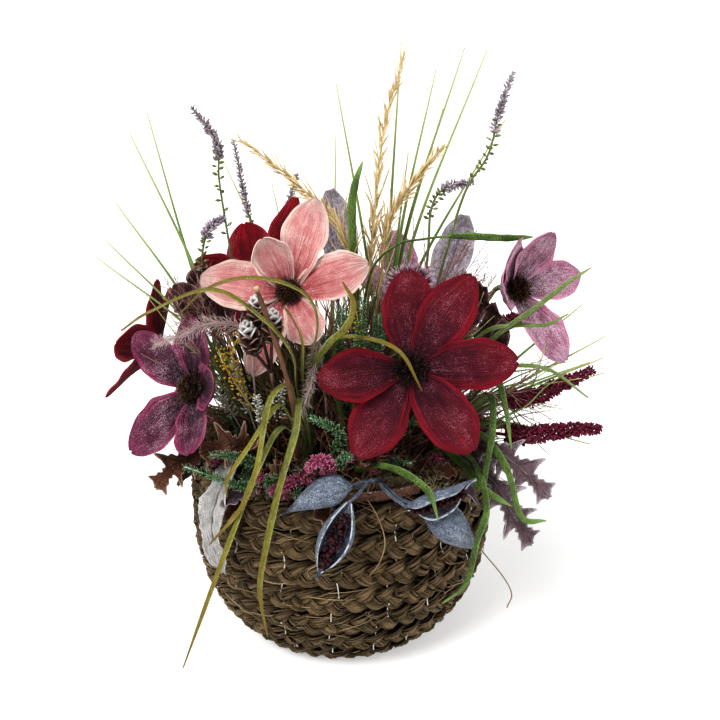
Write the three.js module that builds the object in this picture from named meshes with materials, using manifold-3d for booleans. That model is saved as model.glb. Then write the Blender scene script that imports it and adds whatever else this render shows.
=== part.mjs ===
// A flower basket arrangement: a round basket coiled from seagrass braid, a block of floral foam
// with a moss collar, and artificial blooms, pods, cones, blades, grasses, plumes, spikes and
// leaves that stand in holes in the foam. Millimetres, +Z up. The origin is the middle of the
// flat underside. The front of the arrangement faces -Y.
import * as THREE from 'three';
import { mergeVertices } from 'three/addons/utils/BufferGeometryUtils.js';
import Module from 'manifold-3d';

const wasm = await Module();
wasm.setup();

// ---- driving dimensions ---------------------------------------------------------------------
const ROW_PITCH = 22.1;          // height of one braid row
const ROWS = 7;                  // braid rows from the base to the rim
const BASKET_HEIGHT = ROWS * ROW_PITCH;
const BASE_RADIUS = 74;          // outer radius of the flat underside
const BELLY_RADIUS = 119;        // outer radius where the basket is widest
const WALL = 13;                 // thickness of the braid wall
const FLOOR = 12;                // thickness of the basket's floor
const STRANDS = 18;              // braid strands in one turn
const STRAND_RELIEF = 0.8;       // how far a strand stands out of its row
const ROW_GROOVE = 7.8;          // depth of the groove between two rows
const ROW_SECTION = [0, 0.17, 0.5, 0.85]; // where a row's section turns, as shares of its height
const RIM_ROUND = 3;             // how far the top row rounds in towards the rim
const FIRST_RING = 1.5;          // the braid starts this far above the underside
const LINING_STEP = 80;          // height below which the basket's inside narrows to its floor
const FOAM_RADIUS = 92;
const FOAM_TOP = 178;            // crown of the foam dome
const FOAM_EDGE = 141;           // height of the dome's edge
const GAP = 0.35;                // clearance between pieces that touch
const FOOT_DEPTH = 22;           // how deep a foot stands in the foam
const FOOT_OUT = 7;              // how far a foot stands out of the foam
const PETAL_THICKNESS = 1.2;
const LEAF_THICKNESS = 1.0;
const BLADE_THICKNESS = 1.1;
const PETAL_LAYER = 1.5;         // every second petal starts this much lower
const EYE_HEIGHT = 1.5;          // the eye's underside above the petals' root
const CALYX_DEPTH = 7;           // depth of the cup behind the petals

const COLOURS = {
  seagrass: '#a98a5f', foam: '#5d5a35', moss: '#8b8a63', stem: '#5c6b33', bark: '#6e4a35',
  red: '#8c1230', pink: '#d98f8c', purple: '#6d2f52', mauve: '#8d4f6d', darkRed: '#7a1326',
  eye: '#2a1712', eyeBrown: '#4a3018', thistle: '#a5808e', felt: '#8f7f8c', cone: '#7b6a62',
  pod: '#7c8593', seed: '#5a1a24', strand: '#8a9440', strap: '#5f8038', strapLight: '#93a65c',
  curl: '#97993a', plume: '#d8b988', grass: '#6f8040', lavender: '#8f8593', amaranth: '#5e1024',
  oak: '#74596a', oakBrown: '#7b5a50', heather: '#5f7a52', heatherPink: '#9a4a72',
  velvet: '#c9c6bf', mustard: '#b58a2a', hairy: '#b59aa0',
};

// ---- small tools ----------------------------------------------------------------------------
const vec = (x, y, z) => new THREE.Vector3(x, y, z);
const rad = THREE.MathUtils.degToRad;

// A repeatable stream of numbers from 0 to 1 (Lehmer generator).
function dice(seed) {
  let state = seed;
  return () => {
    state = (state * 16807) % 2147483647;
    return state / 2147483647;
  };
}

// A smooth curve through hand-set points.
function smooth(points) {
  const corners = points.map((p) => vec(...p));
  return new THREE.CatmullRomCurve3(corners, false, 'catmullrom', 0.5);
}

// A closed geometry as a solid that can be joined and cut.
function solid(geometry) {
  const bare = geometry.index ? geometry.clone() : geometry;
  bare.deleteAttribute('normal');
  bare.deleteAttribute('uv');
  const merged = mergeVertices(bare, 1e-4);
  return new wasm.Manifold(new wasm.Mesh({
    numProp: 3,
    vertProperties: new Float32Array(merged.attributes.position.array),
    triVerts: new Uint32Array(merged.index.array),
  }));
}

// Joins solids into one body and drops any loose scrap.
function fuse(solids) {
  const joined = wasm.Manifold.union(solids);
  const bodies = joined.decompose();
  bodies.sort((a, b) => b.volume() - a.volume());
  return bodies[0];
}

const arrangement = new THREE.Group();

// Puts a finished solid into the arrangement as a named mesh.
function place(name, body, colour, roughness = 0.85) {
  const cut = body.getMesh();
  const geometry = new THREE.BufferGeometry();
  geometry.setAttribute('position', new THREE.BufferAttribute(new Float32Array(cut.vertProperties), 3));
  geometry.setIndex(new THREE.BufferAttribute(new Uint32Array(cut.triVerts), 1));
  geometry.computeVertexNormals();
  const material = new THREE.MeshStandardMaterial({ color: colour, roughness, metalness: 0 });
  const mesh = new THREE.Mesh(geometry, material);
  mesh.name = name;
  arrangement.add(mesh);
}

// A rod that tapers along a curve: a cylinder whose rings are carried along it.
function rod(points, radiusAt, sides = 4, steps = 4) {
  const curve = smooth(points);
  const frames = curve.computeFrenetFrames(steps, false);
  const geometry = new THREE.CylinderGeometry(1, 1, 1, sides, steps);
  const corners = geometry.attributes.position;
  for (let i = 0; i < corners.count; i += 1) {
    const t = 0.5 - corners.getY(i);
    const ring = Math.round(t * steps);
    const radius = radiusAt(t);
    const centre = curve.getPoint(t);
    centre.addScaledVector(frames.normals[ring], corners.getX(i) * radius);
    centre.addScaledVector(frames.binormals[ring], -corners.getZ(i) * radius);
    corners.setXYZ(i, centre.x, centre.y, centre.z);
  }
  return outward(geometry);
}

// Turns a solid's faces outwards if its rings ran the other way round.
function outward(geometry) {
  const first = solid(geometry);
  if (first.volume() > 0) {
    return first;
  }
  const index = geometry.index;
  for (let i = 0; i < index.count; i += 3) {
    const keep = index.getX(i);
    index.setX(i, index.getX(i + 1));
    index.setX(i + 1, keep);
  }
  return solid(geometry);
}

// A closed plate over the surface at(u, v), u from -1 to 1 and v from 0 to 1. Both faces are
// split into the same triangles, and the rim closes them.
function plate(across, along, at, thickness) {
  const columns = across + 1;
  const count = columns * (along + 1);
  const positions = [];
  const faces = [];
  const step = 1e-3;
  for (const sideOf of [0.5, -0.5]) {
    for (let j = 0; j <= along; j += 1) {
      for (let i = 0; i <= across; i += 1) {
        const u = -1 + (2 * i) / across;
        const v = j / along;
        const here = at(u, v);
        const du = at(u + step, v).sub(at(u - step, v));
        const dv = at(u, Math.min(v + step, 1)).sub(at(u, Math.max(v - step, 0)));
        const normal = du.cross(dv).normalize();
        here.addScaledVector(normal, sideOf * thickness);
        positions.push(here.x, here.y, here.z);
      }
    }
  }
  const id = (i, j, face) => face * count + j * columns + i;
  const quad = (a, b, c, d) => faces.push(a, b, c, a, c, d);
  for (let j = 0; j < along; j += 1) {
    for (let i = 0; i < across; i += 1) {
      quad(id(i, j, 0), id(i + 1, j, 0), id(i + 1, j + 1, 0), id(i, j + 1, 0));
      faces.push(id(i, j, 1), id(i + 1, j + 1, 1), id(i + 1, j, 1));
      faces.push(id(i, j, 1), id(i, j + 1, 1), id(i + 1, j + 1, 1));
    }
  }
  for (let i = 0; i < across; i += 1) {
    quad(id(i, 0, 1), id(i + 1, 0, 1), id(i + 1, 0, 0), id(i, 0, 0));
    quad(id(i + 1, along, 1), id(i, along, 1), id(i, along, 0), id(i + 1, along, 0));
  }
  for (let j = 0; j < along; j += 1) {
    quad(id(0, j + 1, 1), id(0, j, 1), id(0, j, 0), id(0, j + 1, 0));
    quad(id(across, j, 1), id(across, j + 1, 1), id(across, j + 1, 0), id(across, j, 0));
  }
  const geometry = new THREE.BufferGeometry();
  geometry.setAttribute('position', new THREE.Float32BufferAttribute(positions, 3));
  geometry.setIndex(faces);
  return outward(geometry);
}

// The surface of a leaf or blade: its midrib is a curve, its sides spread at right angles to the
// direction it faces, and its edges are cupped towards that direction.
function leafSurface(points, halfWidthAt, facing, cup = 0) {
  const curve = smooth(points);
  const front = vec(...facing).normalize();
  return (u, v) => {
    const along = curve.getTangent(v);
    const side = along.clone().cross(front).normalize();
    const normal = side.clone().cross(along).normalize();
    const halfWidth = halfWidthAt(v);
    return curve.getPoint(v)
      .addScaledVector(side, halfWidth * u)
      .addScaledVector(normal, cup * halfWidth * u * u);
  };
}

// ---- basket ---------------------------------------------------------------------------------
// Outer radius of the basket at a height, without the braid's relief.
function bellyRadius(z) {
  const rise = Math.min(z / 140, 1);
  return BASE_RADIUS + (BELLY_RADIUS - BASE_RADIUS) * (1 - (1 - rise) ** 4);
}

// Seagrass braid coiled row upon row: every row bulges out of narrow grooves, and its strands lean
// up to the row's middle and back down, so they stand out as chevrons.
function basket() {
  const edge = 8;
  const strandTurn = (1.3 * Math.PI) / STRANDS;
  const pitch = (BASKET_HEIGHT - 2 * FIRST_RING) / ROWS;
  const profile = [vec(0, 0, 0), vec(BASE_RADIUS - edge, 0, 0)];
  for (let row = 0; row < ROWS; row += 1) {
    for (const share of ROW_SECTION) {
      const z = FIRST_RING + (row + share) * pitch;
      profile.push(vec(bellyRadius(z), z, 1 + share));
    }
  }
  profile.push(vec(BELLY_RADIUS - RIM_ROUND, BASKET_HEIGHT - FIRST_RING, 0));
  profile.push(vec(BELLY_RADIUS - edge, BASKET_HEIGHT + 0.5, 0));
  profile.push(vec(BELLY_RADIUS - WALL, BASKET_HEIGHT - 3, 0));
  profile.push(vec(BELLY_RADIUS - WALL, LINING_STEP, 0));
  profile.push(vec(bellyRadius(FLOOR) - WALL, FLOOR, 0));
  profile.push(vec(0, FLOOR, 0));
  const geometry = new THREE.LatheGeometry(profile.map((p) => new THREE.Vector2(p.x, p.y)), STRANDS * 2);
  const corners = geometry.attributes.position;
  const rings = profile.length;
  for (let i = 0; i < corners.count; i += 1) {
    const mark = profile[i % rings].z;
    let angle = Math.atan2(corners.getX(i), corners.getZ(i));
    let radius = Math.hypot(corners.getX(i), corners.getZ(i));
    if (mark > 0) {
      const fromMiddle = Math.abs(mark - 1.5) * 2;
      const spoke = Math.floor(i / rings);
      const ridge = spoke % 2 === 0 ? 1 : -1;
      radius -= ROW_GROOVE * fromMiddle ** 6;
      radius += STRAND_RELIEF * ridge * (1 - fromMiddle * 0.8);
      angle += fromMiddle * strandTurn;
    }
    const z = corners.getY(i);
    corners.setXYZ(i, radius * Math.cos(angle), radius * Math.sin(angle), z);
  }
  place('basket', outward(geometry), COLOURS.seagrass, 0.9);
}

// ---- foam and moss --------------------------------------------------------------------------
function foamHeight(x, y) {
  const share = (x * x + y * y) / (FOAM_RADIUS * FOAM_RADIUS);
  return FOAM_TOP - (FOAM_TOP - FOAM_EDGE) * share;
}

const holes = [];

// The foot of a stem: a short straight peg in the foam, leaning away from the basket's middle.
// "from(target)" is the point near the peg's top where a stem that heads for the target starts.
function foot(x, y, radius = 2.4) {
  const surface = vec(x, y, foamHeight(x, y));
  const lean = surface.clone().sub(vec(0, 0, 20)).normalize();
  const end = (reach) => surface.clone().addScaledVector(lean, reach).toArray();
  const peg = (low, high, size) => rod([end(low), end(high)], () => size, 3, 1);
  holes.push(peg(-FOOT_DEPTH - GAP, FOOT_OUT, radius + GAP * 2));
  const top = end(FOOT_OUT - 2);
  const from = (target) => {
    const aside = vec(...target).sub(vec(...top)).projectOnPlane(lean);
    return vec(...top).add(aside.setLength(Math.max(radius * 0.5 - 1.1, 0))).toArray();
  };
  return { body: peg(-FOOT_DEPTH, FOOT_OUT, radius), top, from };
}

function foamBlock() {
  const inner = bellyRadius(FLOOR) - WALL - 1;
  const profile = [[0, FLOOR + GAP], [inner - 2, FLOOR + GAP], [FOAM_RADIUS, 70], [FOAM_RADIUS, FOAM_EDGE]];
  for (const share of [0.75, 0.42]) {
    profile.push([FOAM_RADIUS * share, foamHeight(FOAM_RADIUS * share, 0)]);
  }
  profile.push([0, FOAM_TOP]);
  const geometry = new THREE.LatheGeometry(profile.map((p) => new THREE.Vector2(...p)), 14);
  geometry.rotateX(Math.PI / 2);
  const block = outward(geometry);
  place('foam_block', block.subtract(wasm.Manifold.union(holes)), COLOURS.foam, 0.95);
}

// Curly moss tucked between the foam and the braid wall, raised over the foam's edge.
function mossCollar() {
  const inside = FOAM_RADIUS + 2 * GAP;
  const outside = BELLY_RADIUS - WALL - 2 * GAP;
  const loop = [[inside, 112], [outside, 112], [outside, 148], [99, 156], [inside, 146], [inside, 112]];
  const spokes = 26;
  const geometry = new THREE.LatheGeometry(loop.map((p) => new THREE.Vector2(...p)), spokes);
  const corners = geometry.attributes.position;
  const toss = dice(77);
  const lift = Array.from({ length: spokes }, () => toss() * 7 - 3);
  for (let i = 0; i < corners.count; i += 1) {
    const spoke = Math.floor(i / loop.length) % spokes;
    const z = corners.getY(i);
    const top = z > 150 ? lift[spoke] : 0;
    corners.setXYZ(i, corners.getX(i), -corners.getZ(i), z + top);
  }
  place('moss_collar', outward(geometry), COLOURS.moss, 0.95);
}

// ---- blooms ---------------------------------------------------------------------------------
// One petal of a bloom. Its midrib leaves the eye at the angle "lift" above the bloom's face and
// bends evenly to "tipLift"; its sides are cupped by the square of the distance from the midrib.
function petalSurface(frame, petal, root, layer) {
  const [angle, length, halfWidth, lift, tipLift, cup] = petal;
  const turn = rad(angle);
  const from = rad(lift);
  const bend = rad(tipLift) - from || 1e-3;
  const away = frame.right.clone().multiplyScalar(Math.cos(turn)).addScaledVector(frame.up, Math.sin(turn));
  const side = frame.right.clone().multiplyScalar(-Math.sin(turn)).addScaledVector(frame.up, Math.cos(turn));
  return (u, v) => {
    const slope = from + bend * v;
    const out = root + (length * (Math.sin(slope) - Math.sin(from))) / bend;
    const height = (length * (Math.cos(from) - Math.cos(slope))) / bend - layer;
    const width = halfWidth * Math.sin(Math.PI * (0.03 + 0.95 * v ** 1.3)) ** 0.9;
    const raised = cup * width * u * u;
    return frame.centre.clone()
      .addScaledVector(away, out - raised * Math.sin(slope))
      .addScaledVector(side, width * u)
      .addScaledVector(frame.face, height + raised * Math.cos(slope));
  };
}

// The middle of a bloom's face and its three directions: out of the face, right and up.
function bloomFrame(centre, face) {
  const front = vec(...face).normalize();
  const right = vec(0, 0, 1).cross(front).normalize();
  return { centre: vec(...centre), face: front, right, up: front.clone().cross(right) };
}

// Moves a form made about the origin with +Z out of the bloom's face to its place.
function seat(geometry, frame, height) {
  const basis = new THREE.Matrix4().makeBasis(frame.right, frame.up, frame.face);
  basis.setPosition(frame.centre.clone().addScaledVector(frame.face, height));
  geometry.applyMatrix4(basis);
  return outward(geometry);
}

// A round form on the bloom's axis from a profile of [radius, height] pairs.
function turned(profile, sides) {
  const geometry = new THREE.LatheGeometry(profile.map((p) => new THREE.Vector2(...p)), sides);
  geometry.rotateX(Math.PI / 2);
  return geometry;
}

// The eye of a bloom: a low knob of stamens, rough with bumps, narrow where it sits.
function eyeKnob(size) {
  const profile = [[0, 0], [0.5, 0], [0.97, 0.42], [0.86, 0.72], [0.45, 0.88], [0, 0.92]];
  const sides = 8;
  const geometry = turned(profile.map(([r, h]) => [r * size, h * size]), sides);
  const corners = geometry.attributes.position;
  for (let i = 0; i < corners.count; i += 1) {
    const spoke = Math.floor(i / profile.length) % sides;
    const ring = i % profile.length;
    const sunk = (spoke + ring) % 2 === 0 && ring > 1 && ring < profile.length - 1;
    const scale = sunk ? 0.86 : 1;
    corners.setXYZ(i, corners.getX(i) * scale, corners.getY(i) * scale, corners.getZ(i) * scale);
  }
  return geometry;
}

// A bloom is three pieces: the petals on their cup, the eye and the stem.
function bloom(name, spec) {
  const frame = bloomFrame(spec.centre, spec.face);
  const eye = spec.eye;
  const petals = spec.petals.map((petal, i) => {
    const surface = petalSurface(frame, petal, eye * 0.5, ((i + 1) % 2) * PETAL_LAYER);
    return plate(spec.across, spec.along, surface, PETAL_THICKNESS);
  });
  const top = EYE_HEIGHT - GAP;
  const cup = turned([[0, -CALYX_DEPTH], [2.6, -CALYX_DEPTH], [eye * 0.78, top], [0, top]], 6);
  place(`${name}_petals`, fuse([...petals, seat(cup, frame, 0)]), spec.colour, 0.7);
  place(`${name}_eye`, seat(eyeKnob(eye), frame, EYE_HEIGHT), spec.eyeColour, 0.9);

  const root = foot(...spec.foot, 3.6);
  const behind = (reach) => frame.centre.clone().addScaledVector(frame.face, -reach).toArray();
  const path = [root.top, ...(spec.via ?? []), behind(CALYX_DEPTH + 24), behind(CALYX_DEPTH + GAP)];
  const stem = rod(path, () => 2, 4, 3);
  place(`${name}_stem`, fuse([root.body, stem]), COLOURS.stem, 0.8);
}

// Petals: [angle round the eye, length, half width, lift, tip lift, cup] in degrees and mm.
function blooms() {
  bloom('bloom_red_front', {
    centre: [49, -90, 246], face: [-0.05, -0.94, 0.34], foot: [30, -46], eye: 10.5,
    colour: COLOURS.red, eyeColour: COLOURS.eye, across: 2, along: 6,
    petals: [[92, 62, 20, 14, 10, 0.1], [57, 71, 19, 22, 4, -0.12], [5, 68, 19, 16, 8, 0.12],
      [-52, 66, 20, 20, 14, 0.1], [-120, 66, 20, 14, 12, 0.12], [-172, 60, 19, 22, 16, 0.1]],
  });
  bloom('bloom_pink', {
    centre: [-34, -58, 290], face: [-0.08, -0.86, 0.5], foot: [-20, -30], eye: 8.5,
    colour: COLOURS.pink, eyeColour: COLOURS.eyeBrown, across: 2, along: 6,
    petals: [[75, 64, 17, 20, 6, 0.15], [175, 58, 19, 18, 2, -0.1], [18, 56, 18, 16, 12, 0.14],
      [-61, 50, 15, 24, 38, 0.1], [118, 44, 15, 40, 55, 0.12]],
  });
  bloom('bloom_purple_left', {
    centre: [-104, -60, 219], face: [-0.5, -0.76, 0.38], foot: [-60, -14], eye: 9,
    colour: COLOURS.purple, eyeColour: COLOURS.eyeBrown, across: 2, along: 4,
    petals: [[88, 51, 18, 26, 20, 0.15], [150, 56, 17, 24, 16, 0.1], [12, 50, 17, 30, 46, 0.3],
      [-55, 52, 18, 22, 30, 0.16], [-122, 62, 20, 16, 10, 0.1]],
  });
  bloom('bloom_mauve_right', {
    centre: [131, -5, 276], face: [0.52, -0.74, 0.4], foot: [62, 0], eye: 9,
    colour: COLOURS.mauve, eyeColour: COLOURS.eyeBrown, across: 2, along: 4,
    petals: [[128, 58, 17, 32, 70, 0.2], [70, 52, 15, 40, 60, 0.2], [175, 48, 17, 34, 50, 0.3],
      [2, 54, 16, 20, 10, 0.12], [-68, 62, 19, 16, 4, 0.12]],
  });
  bloom('bloom_red_back', {
    centre: [-60, 12, 272], face: [-0.12, -0.8, 0.6], foot: [-34, 14], eye: 9,
    colour: COLOURS.darkRed, eyeColour: COLOURS.eye, across: 2, along: 4,
    petals: [[109, 50, 20, 22, 22, 0.14], [71, 72, 12, 17, 20, 0.1], [170, 54, 16, 38, 38, 0.14],
      [230, 42, 16, 10, 6, 0.12], [300, 38, 14, 20, 20, 0.12]],
  });
  bloom('bloom_red_side', {
    centre: [-150, 42, 218], face: [-0.86, 0.1, 0.42], foot: [-66, 20], eye: 9,
    colour: COLOURS.darkRed, eyeColour: COLOURS.eye, across: 2, along: 4,
    petals: [[80, 54, 17, 24, 20, 0.14], [150, 54, 18, 20, 14, 0.14], [10, 54, 18, 24, 24, 0.14],
      [-62, 56, 18, 20, 14, 0.12], [-130, 54, 17, 20, 16, 0.12]],
  });
  bloom('bloom_mauve_back', {
    centre: [52, 112, 236], face: [0.28, 0.84, 0.42], foot: [24, 54], eye: 9,
    colour: COLOURS.mauve, eyeColour: COLOURS.eyeBrown, across: 2, along: 4,
    petals: [[85, 60, 18, 22, 14, 0.14], [155, 58, 18, 18, 12, 0.12], [18, 58, 18, 24, 20, 0.14],
      [-52, 60, 19, 18, 10, 0.12], [-122, 58, 18, 20, 12, 0.12]],
  });
}

// ---- rods, blades and sprigs that stand in the foam -------------------------------------------
const thinning = (thick, thin) => (t) => thick + (thin - thick) * t;

// Half the width of a strap blade along its length: narrow at its root, pointed at its tip.
const strapWidth = (most) => (t) => most * Math.min(1, 0.35 + 2 * t) * (1 - t ** 4) + 0.4;

// The direction square to the plane that a blade arches in: a blade bends over its flat side, so
// its width lies along this direction.
function archNormal(points) {
  const start = vec(...points[0]);
  const normal = vec(0, 0, 0);
  for (let i = 1; i + 1 < points.length; i += 1) {
    const near = vec(...points[i]).sub(start);
    const far = vec(...points[i + 1]).sub(start);
    normal.add(near.cross(far));
  }
  return normal.normalize();
}

// A flat blade carried along a curve. Its section is a low triangle, so it has a keel.
function blade(points, halfWidthAt, steps) {
  const curve = smooth(points);
  const across = archNormal(points);
  const geometry = new THREE.CylinderGeometry(1, 1, 1, 3, steps);
  const corners = geometry.attributes.position;
  for (let i = 0; i < corners.count; i += 1) {
    const t = 0.5 - corners.getY(i);
    const along = curve.getTangent(t);
    const side = across.clone().projectOnPlane(along).normalize();
    const normal = side.clone().cross(along);
    const spot = curve.getPoint(t)
      .addScaledVector(side, (corners.getX(i) / Math.cos(Math.PI / 6)) * halfWidthAt(t))
      .addScaledVector(normal, corners.getZ(i) * BLADE_THICKNESS * (2 / 3));
    corners.setXYZ(i, spot.x, spot.y, spot.z);
  }
  return outward(geometry);
}

// A stem whose upper stretch, from the share "from", carries pointed florets or grains. They are
// raised from its surface: on every ring each second corner is drawn out to "reach" and leant
// towards the tip, and the next ring does so with the corners between.
function sprig(points, spec) {
  const { stem, core, reach, lean, from, rings, sides = 4 } = spec;
  const curve = smooth(points);
  const stemRings = 3;
  const steps = stemRings + rings;
  const shareAt = (ring) => (ring <= stemRings
    ? (from * ring) / stemRings
    : from + ((1 - from) * (ring - stemRings)) / rings);
  const geometry = new THREE.CylinderGeometry(1, 1, 1, sides, steps);
  const corners = geometry.attributes.position;
  for (let i = 0; i < corners.count; i += 1) {
    const ring = Math.round((0.5 - corners.getY(i)) * steps);
    const t = shareAt(ring);
    const along = curve.getTangent(t);
    const right = along.clone().cross(vec(0.31, 0.91, 0.27)).normalize();
    const up = right.clone().cross(along);
    const corner = Math.round((Math.atan2(corners.getX(i), corners.getZ(i)) * sides) / (2 * Math.PI));
    const onAxis = Math.hypot(corners.getX(i), corners.getZ(i)) < 0.5;
    const flowering = ring > stemRings && ring < steps;
    const drawnOut = flowering && (corner + ring + sides) % 2 === 0;
    const shrink = 1 - 0.4 * ((ring - stemRings) / rings) ** 2;
    const plain = flowering ? core * shrink : stem * (1 - 0.4 * t);
    const radius = onAxis ? 0 : drawnOut ? reach * shrink : plain;
    const spot = curve.getPoint(t)
      .addScaledVector(right, (corners.getX(i) * radius))
      .addScaledVector(up, (corners.getZ(i) * radius))
      .addScaledVector(along, drawnOut && !onAxis ? lean * shrink : 0);
    corners.setXYZ(i, spot.x, spot.y, spot.z);
  }
  return outward(geometry);
}

// A piece of the arrangement that stands in the foam on one foot, at [x, y] or [x, y, radius].
function plant(name, at, colour, grow) {
  const root = foot(...at);
  place(name, fuse([root.body, ...grow(root.from)]), colour);
}

// Sprigs from one foot. Each is its spec and a list of points after the foot's top.
function sprigs(name, at, colour, list) {
  plant(name, at, colour, (from) => list.map(([spec, ...points]) => (
    sprig([from(points[0]), ...points], spec)
  )));
}

// Strap blades that rise from one foot, arch and trail over the rim. Each is a list of points
// after the foot's top; a wide blade is 3 mm to each side of its midrib.
function bladeBunch(name, at, colour, blades) {
  plant(name, at, colour, (from) => blades.map(([halfWidth, ...points]) => (
    blade([from(points[0]), ...points], strapWidth(halfWidth), points.length + 1)
  )));
}

function bladeBunches() {
  bladeBunch('blades_front', [-20, -62, 5], COLOURS.strand, [
    [2.2, [-30, -88, 222], [-33, -104, 240], [-44, -124, 235],
      [-52, -137, 195], [-64, -135, 164], [-88, -127, 131]],
    [1.8, [-34, -92, 212], [-40, -114, 228], [-58, -131, 206], [-72, -132, 184], [-74, -128, 168]],
    [2.4, [-25, -96, 226], [-27, -130, 216], [-38, -142, 180],
      [-51, -137, 121], [-54, -131, 92], [-51, -123, 54]],
    [2.0, [-37, -98, 206], [-52, -126, 190], [-70, -132, 145], [-88, -127, 96], [-115, -114, 20]],
    [2.0, [-28, -88, 228], [-29, -112, 264], [-46, -129, 294],
      [-77, -128, 312], [-120, -109, 292], [-142, -99, 276]],
    [1.8, [-21, -88, 236], [-12, -116, 285], [-20, -128, 310],
      [-48, -133, 321], [-78, -121, 312], [-100, -111, 292]],
    [2.0, [-24, -88, 234], [-22, -114, 272], [-27, -121, 290], [-33, -123, 300]],
    [2.0, [-18, -88, 238], [-6, -118, 272], [6, -124, 286], [11, -119, 300], [4, -113, 313]],
  ]);
  bladeBunch('blades_front_right', [8, -62], COLOURS.curl, [
    [1.8, [0, -74, 212], [-2, -88, 262], [16, -114, 276], [40, -124, 270], [55, -126, 244]],
    [2.4, [14, -92, 170], [26, -116, 186], [42, -144, 195], [58, -157, 188], [65, -158, 168]],
  ]);
  bladeBunch('blades_right', [62, -48, 5], COLOURS.strap, [
    [3.0, [88, -60, 196], [106, -72, 220], [107, -88, 198], [102, -100, 174], [101, -107, 151]],
    [3.0, [86, -54, 215], [106, -72, 240], [114, -90, 221], [119, -100, 191]],
    [2.8, [78, -56, 180], [100, -74, 190], [117, -96, 174], [128, -104, 140], [148, -94, 131]],
    [2.8, [74, -62, 172], [86, -86, 174], [100, -110, 165], [120, -109, 151]],
    [2.6, [78, -68, 178], [94, -94, 178], [101, -120, 158],
      [93, -140, 143], [86, -142, 110], [72, -135, 90]],
  ]);
  bladeBunch('blades_high', [40, -22, 4], COLOURS.strapLight, [
    [1.8, [84, -40, 232], [104, -56, 261], [124, -64, 268], [145, -62, 268], [161, -56, 274]],
    [1.6, [80, -40, 220], [113, -62, 262], [134, -66, 280], [158, -56, 296], [176, -50, 306]],
    [2.0, [86, -44, 226], [118, -64, 238], [148, -66, 236], [178, -64, 214]],
  ]);
  bladeBunch('blade_upright', [6, -10], COLOURS.strap, [
    [3.0, [12, -8, 250], [9, 2, 330], [11, 8, 352], [17, 12, 370]],
  ]);
  bladeBunch('blades_back', [-58, 44, 4], COLOURS.strap, [
    [2.6, [-96, 84, 190], [-128, 110, 196], [-150, 124, 160], [-158, 126, 118]],
    [2.4, [-84, 88, 200], [-104, 126, 214], [-122, 150, 180], [-128, 158, 130]],
    [2.2, [-76, 84, 190], [-84, 118, 190], [-92, 132, 150], [-90, 136, 96]],
  ]);
}

// A tuft of thin round grasses from one foot: [halfway, tip] of each.
function grassTuft(name, at, colour, grasses) {
  plant(name, at, colour, (from) => grasses.map((points) => (
    rod([from(points[0]), ...points], thinning(1.1, 0.4), 3, 3)
  )));
}

function grasses() {
  grassTuft('grass_tall', [36, 38, 5], COLOURS.grass, [
    [[38, 48, 300], [46, 58, 452]],
    [[46, 50, 300], [73, 64, 432]],
    [[50, 54, 300], [95, 70, 448]],
    [[56, 56, 296], [112, 70, 446]],
    [[40, 44, 260], [52, 46, 372]],
    [[20, 62, 290], [-4, 92, 420]],
    [[48, 70, 280], [84, 120, 398]],
    [[60, 60, 270], [132, 92, 392]],
  ]);
  grassTuft('grass_left', [-70, 2, 4], COLOURS.grass, [
    [[-102, -26, 292], [-148, -6, 392]],
    [[-110, -22, 268], [-160, -14, 344]],
    [[-112, -14, 250], [-168, -20, 318]],
    [[-106, -8, 280], [-140, 18, 404]],
    [[-110, -4, 240], [-182, 2, 300]],
  ]);
  grassTuft('grass_right', [68, -10, 4.5], COLOURS.grass, [
    [[130, -24, 200], [196, -30, 232]],
    [[126, -16, 190], [202, -14, 214]],
    [[130, -4, 196], [206, 8, 236]],
    [[128, 6, 188], [200, 26, 208]],
    [[120, -30, 180], [188, -44, 168]],
    [[128, 16, 204], [196, 48, 250]],
  ]);
  grassTuft('grass_back', [-12, 60, 4.5], COLOURS.grass, [
    [[-40, 110, 240], [-64, 160, 330]],
    [[-24, 120, 230], [-30, 180, 300]],
    [[-8, 104, 250], [-6, 148, 372]],
    [[-52, 100, 250], [-104, 142, 352]],
    [[-30, 116, 200], [-40, 186, 226]],
    [[-14, 122, 196], [-6, 188, 250]],
  ]);
}

// Wheat plumes, lavender, amaranth and heather. Reach and lean are how far a grain or floret
// stands out of the stem and towards its tip.
function plumes() {
  const wheat = { stem: 1.3, core: 1.1, reach: 7.5, lean: 12, from: 0.42, rings: 12 };
  sprigs('plume_bunch', [12, 14, 4], COLOURS.plume, [
    [wheat, [20, 12, 250], [25, 16, 320], [33, 34, 390], [48, 44, 445]],
    [wheat, [8, 6, 250], [4, 6, 312], [-31, 18, 352], [-75, 30, 384]],
    [{ ...wheat, rings: 10 }, [30, 16, 270], [36, 20, 322], [54, 30, 350], [77, 40, 376]],
  ]);
}

function lavenders() {
  const spike = { stem: 1.3, core: 1, reach: 4.4, lean: 2.5, from: 0.5, rings: 15 };
  sprigs('lavender_left', [-46, -14], COLOURS.lavender, [
    [spike, [-70, -18, 250], [-78, -16, 300], [-86, -8, 358], [-87, -4, 386], [-104, -2, 410]],
    [{ ...spike, from: 0.66, rings: 9 }, [-84, -32, 260],
      [-97, -36, 298], [-92, -36, 328], [-80, -36, 338]],
  ]);
  sprigs('lavender_right', [52, 16], COLOURS.lavender, [
    [spike, [72, 6, 270], [92, 14, 344], [110, 22, 373], [118, 28, 405], [127, 32, 432]],
    [{ ...spike, from: 0.66, rings: 9 }, [66, 16, 290], [69, 24, 332], [80, 28, 348], [101, 30, 352]],
  ]);
  sprigs('lavender_back', [-44, 52], COLOURS.lavender, [
    [{ ...spike, rings: 14 }, [-66, 90, 250], [-80, 112, 310], [-92, 124, 372]],
    [{ ...spike, rings: 12 }, [-50, 92, 240], [-50, 128, 300], [-40, 146, 340]],
  ]);
}

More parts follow.
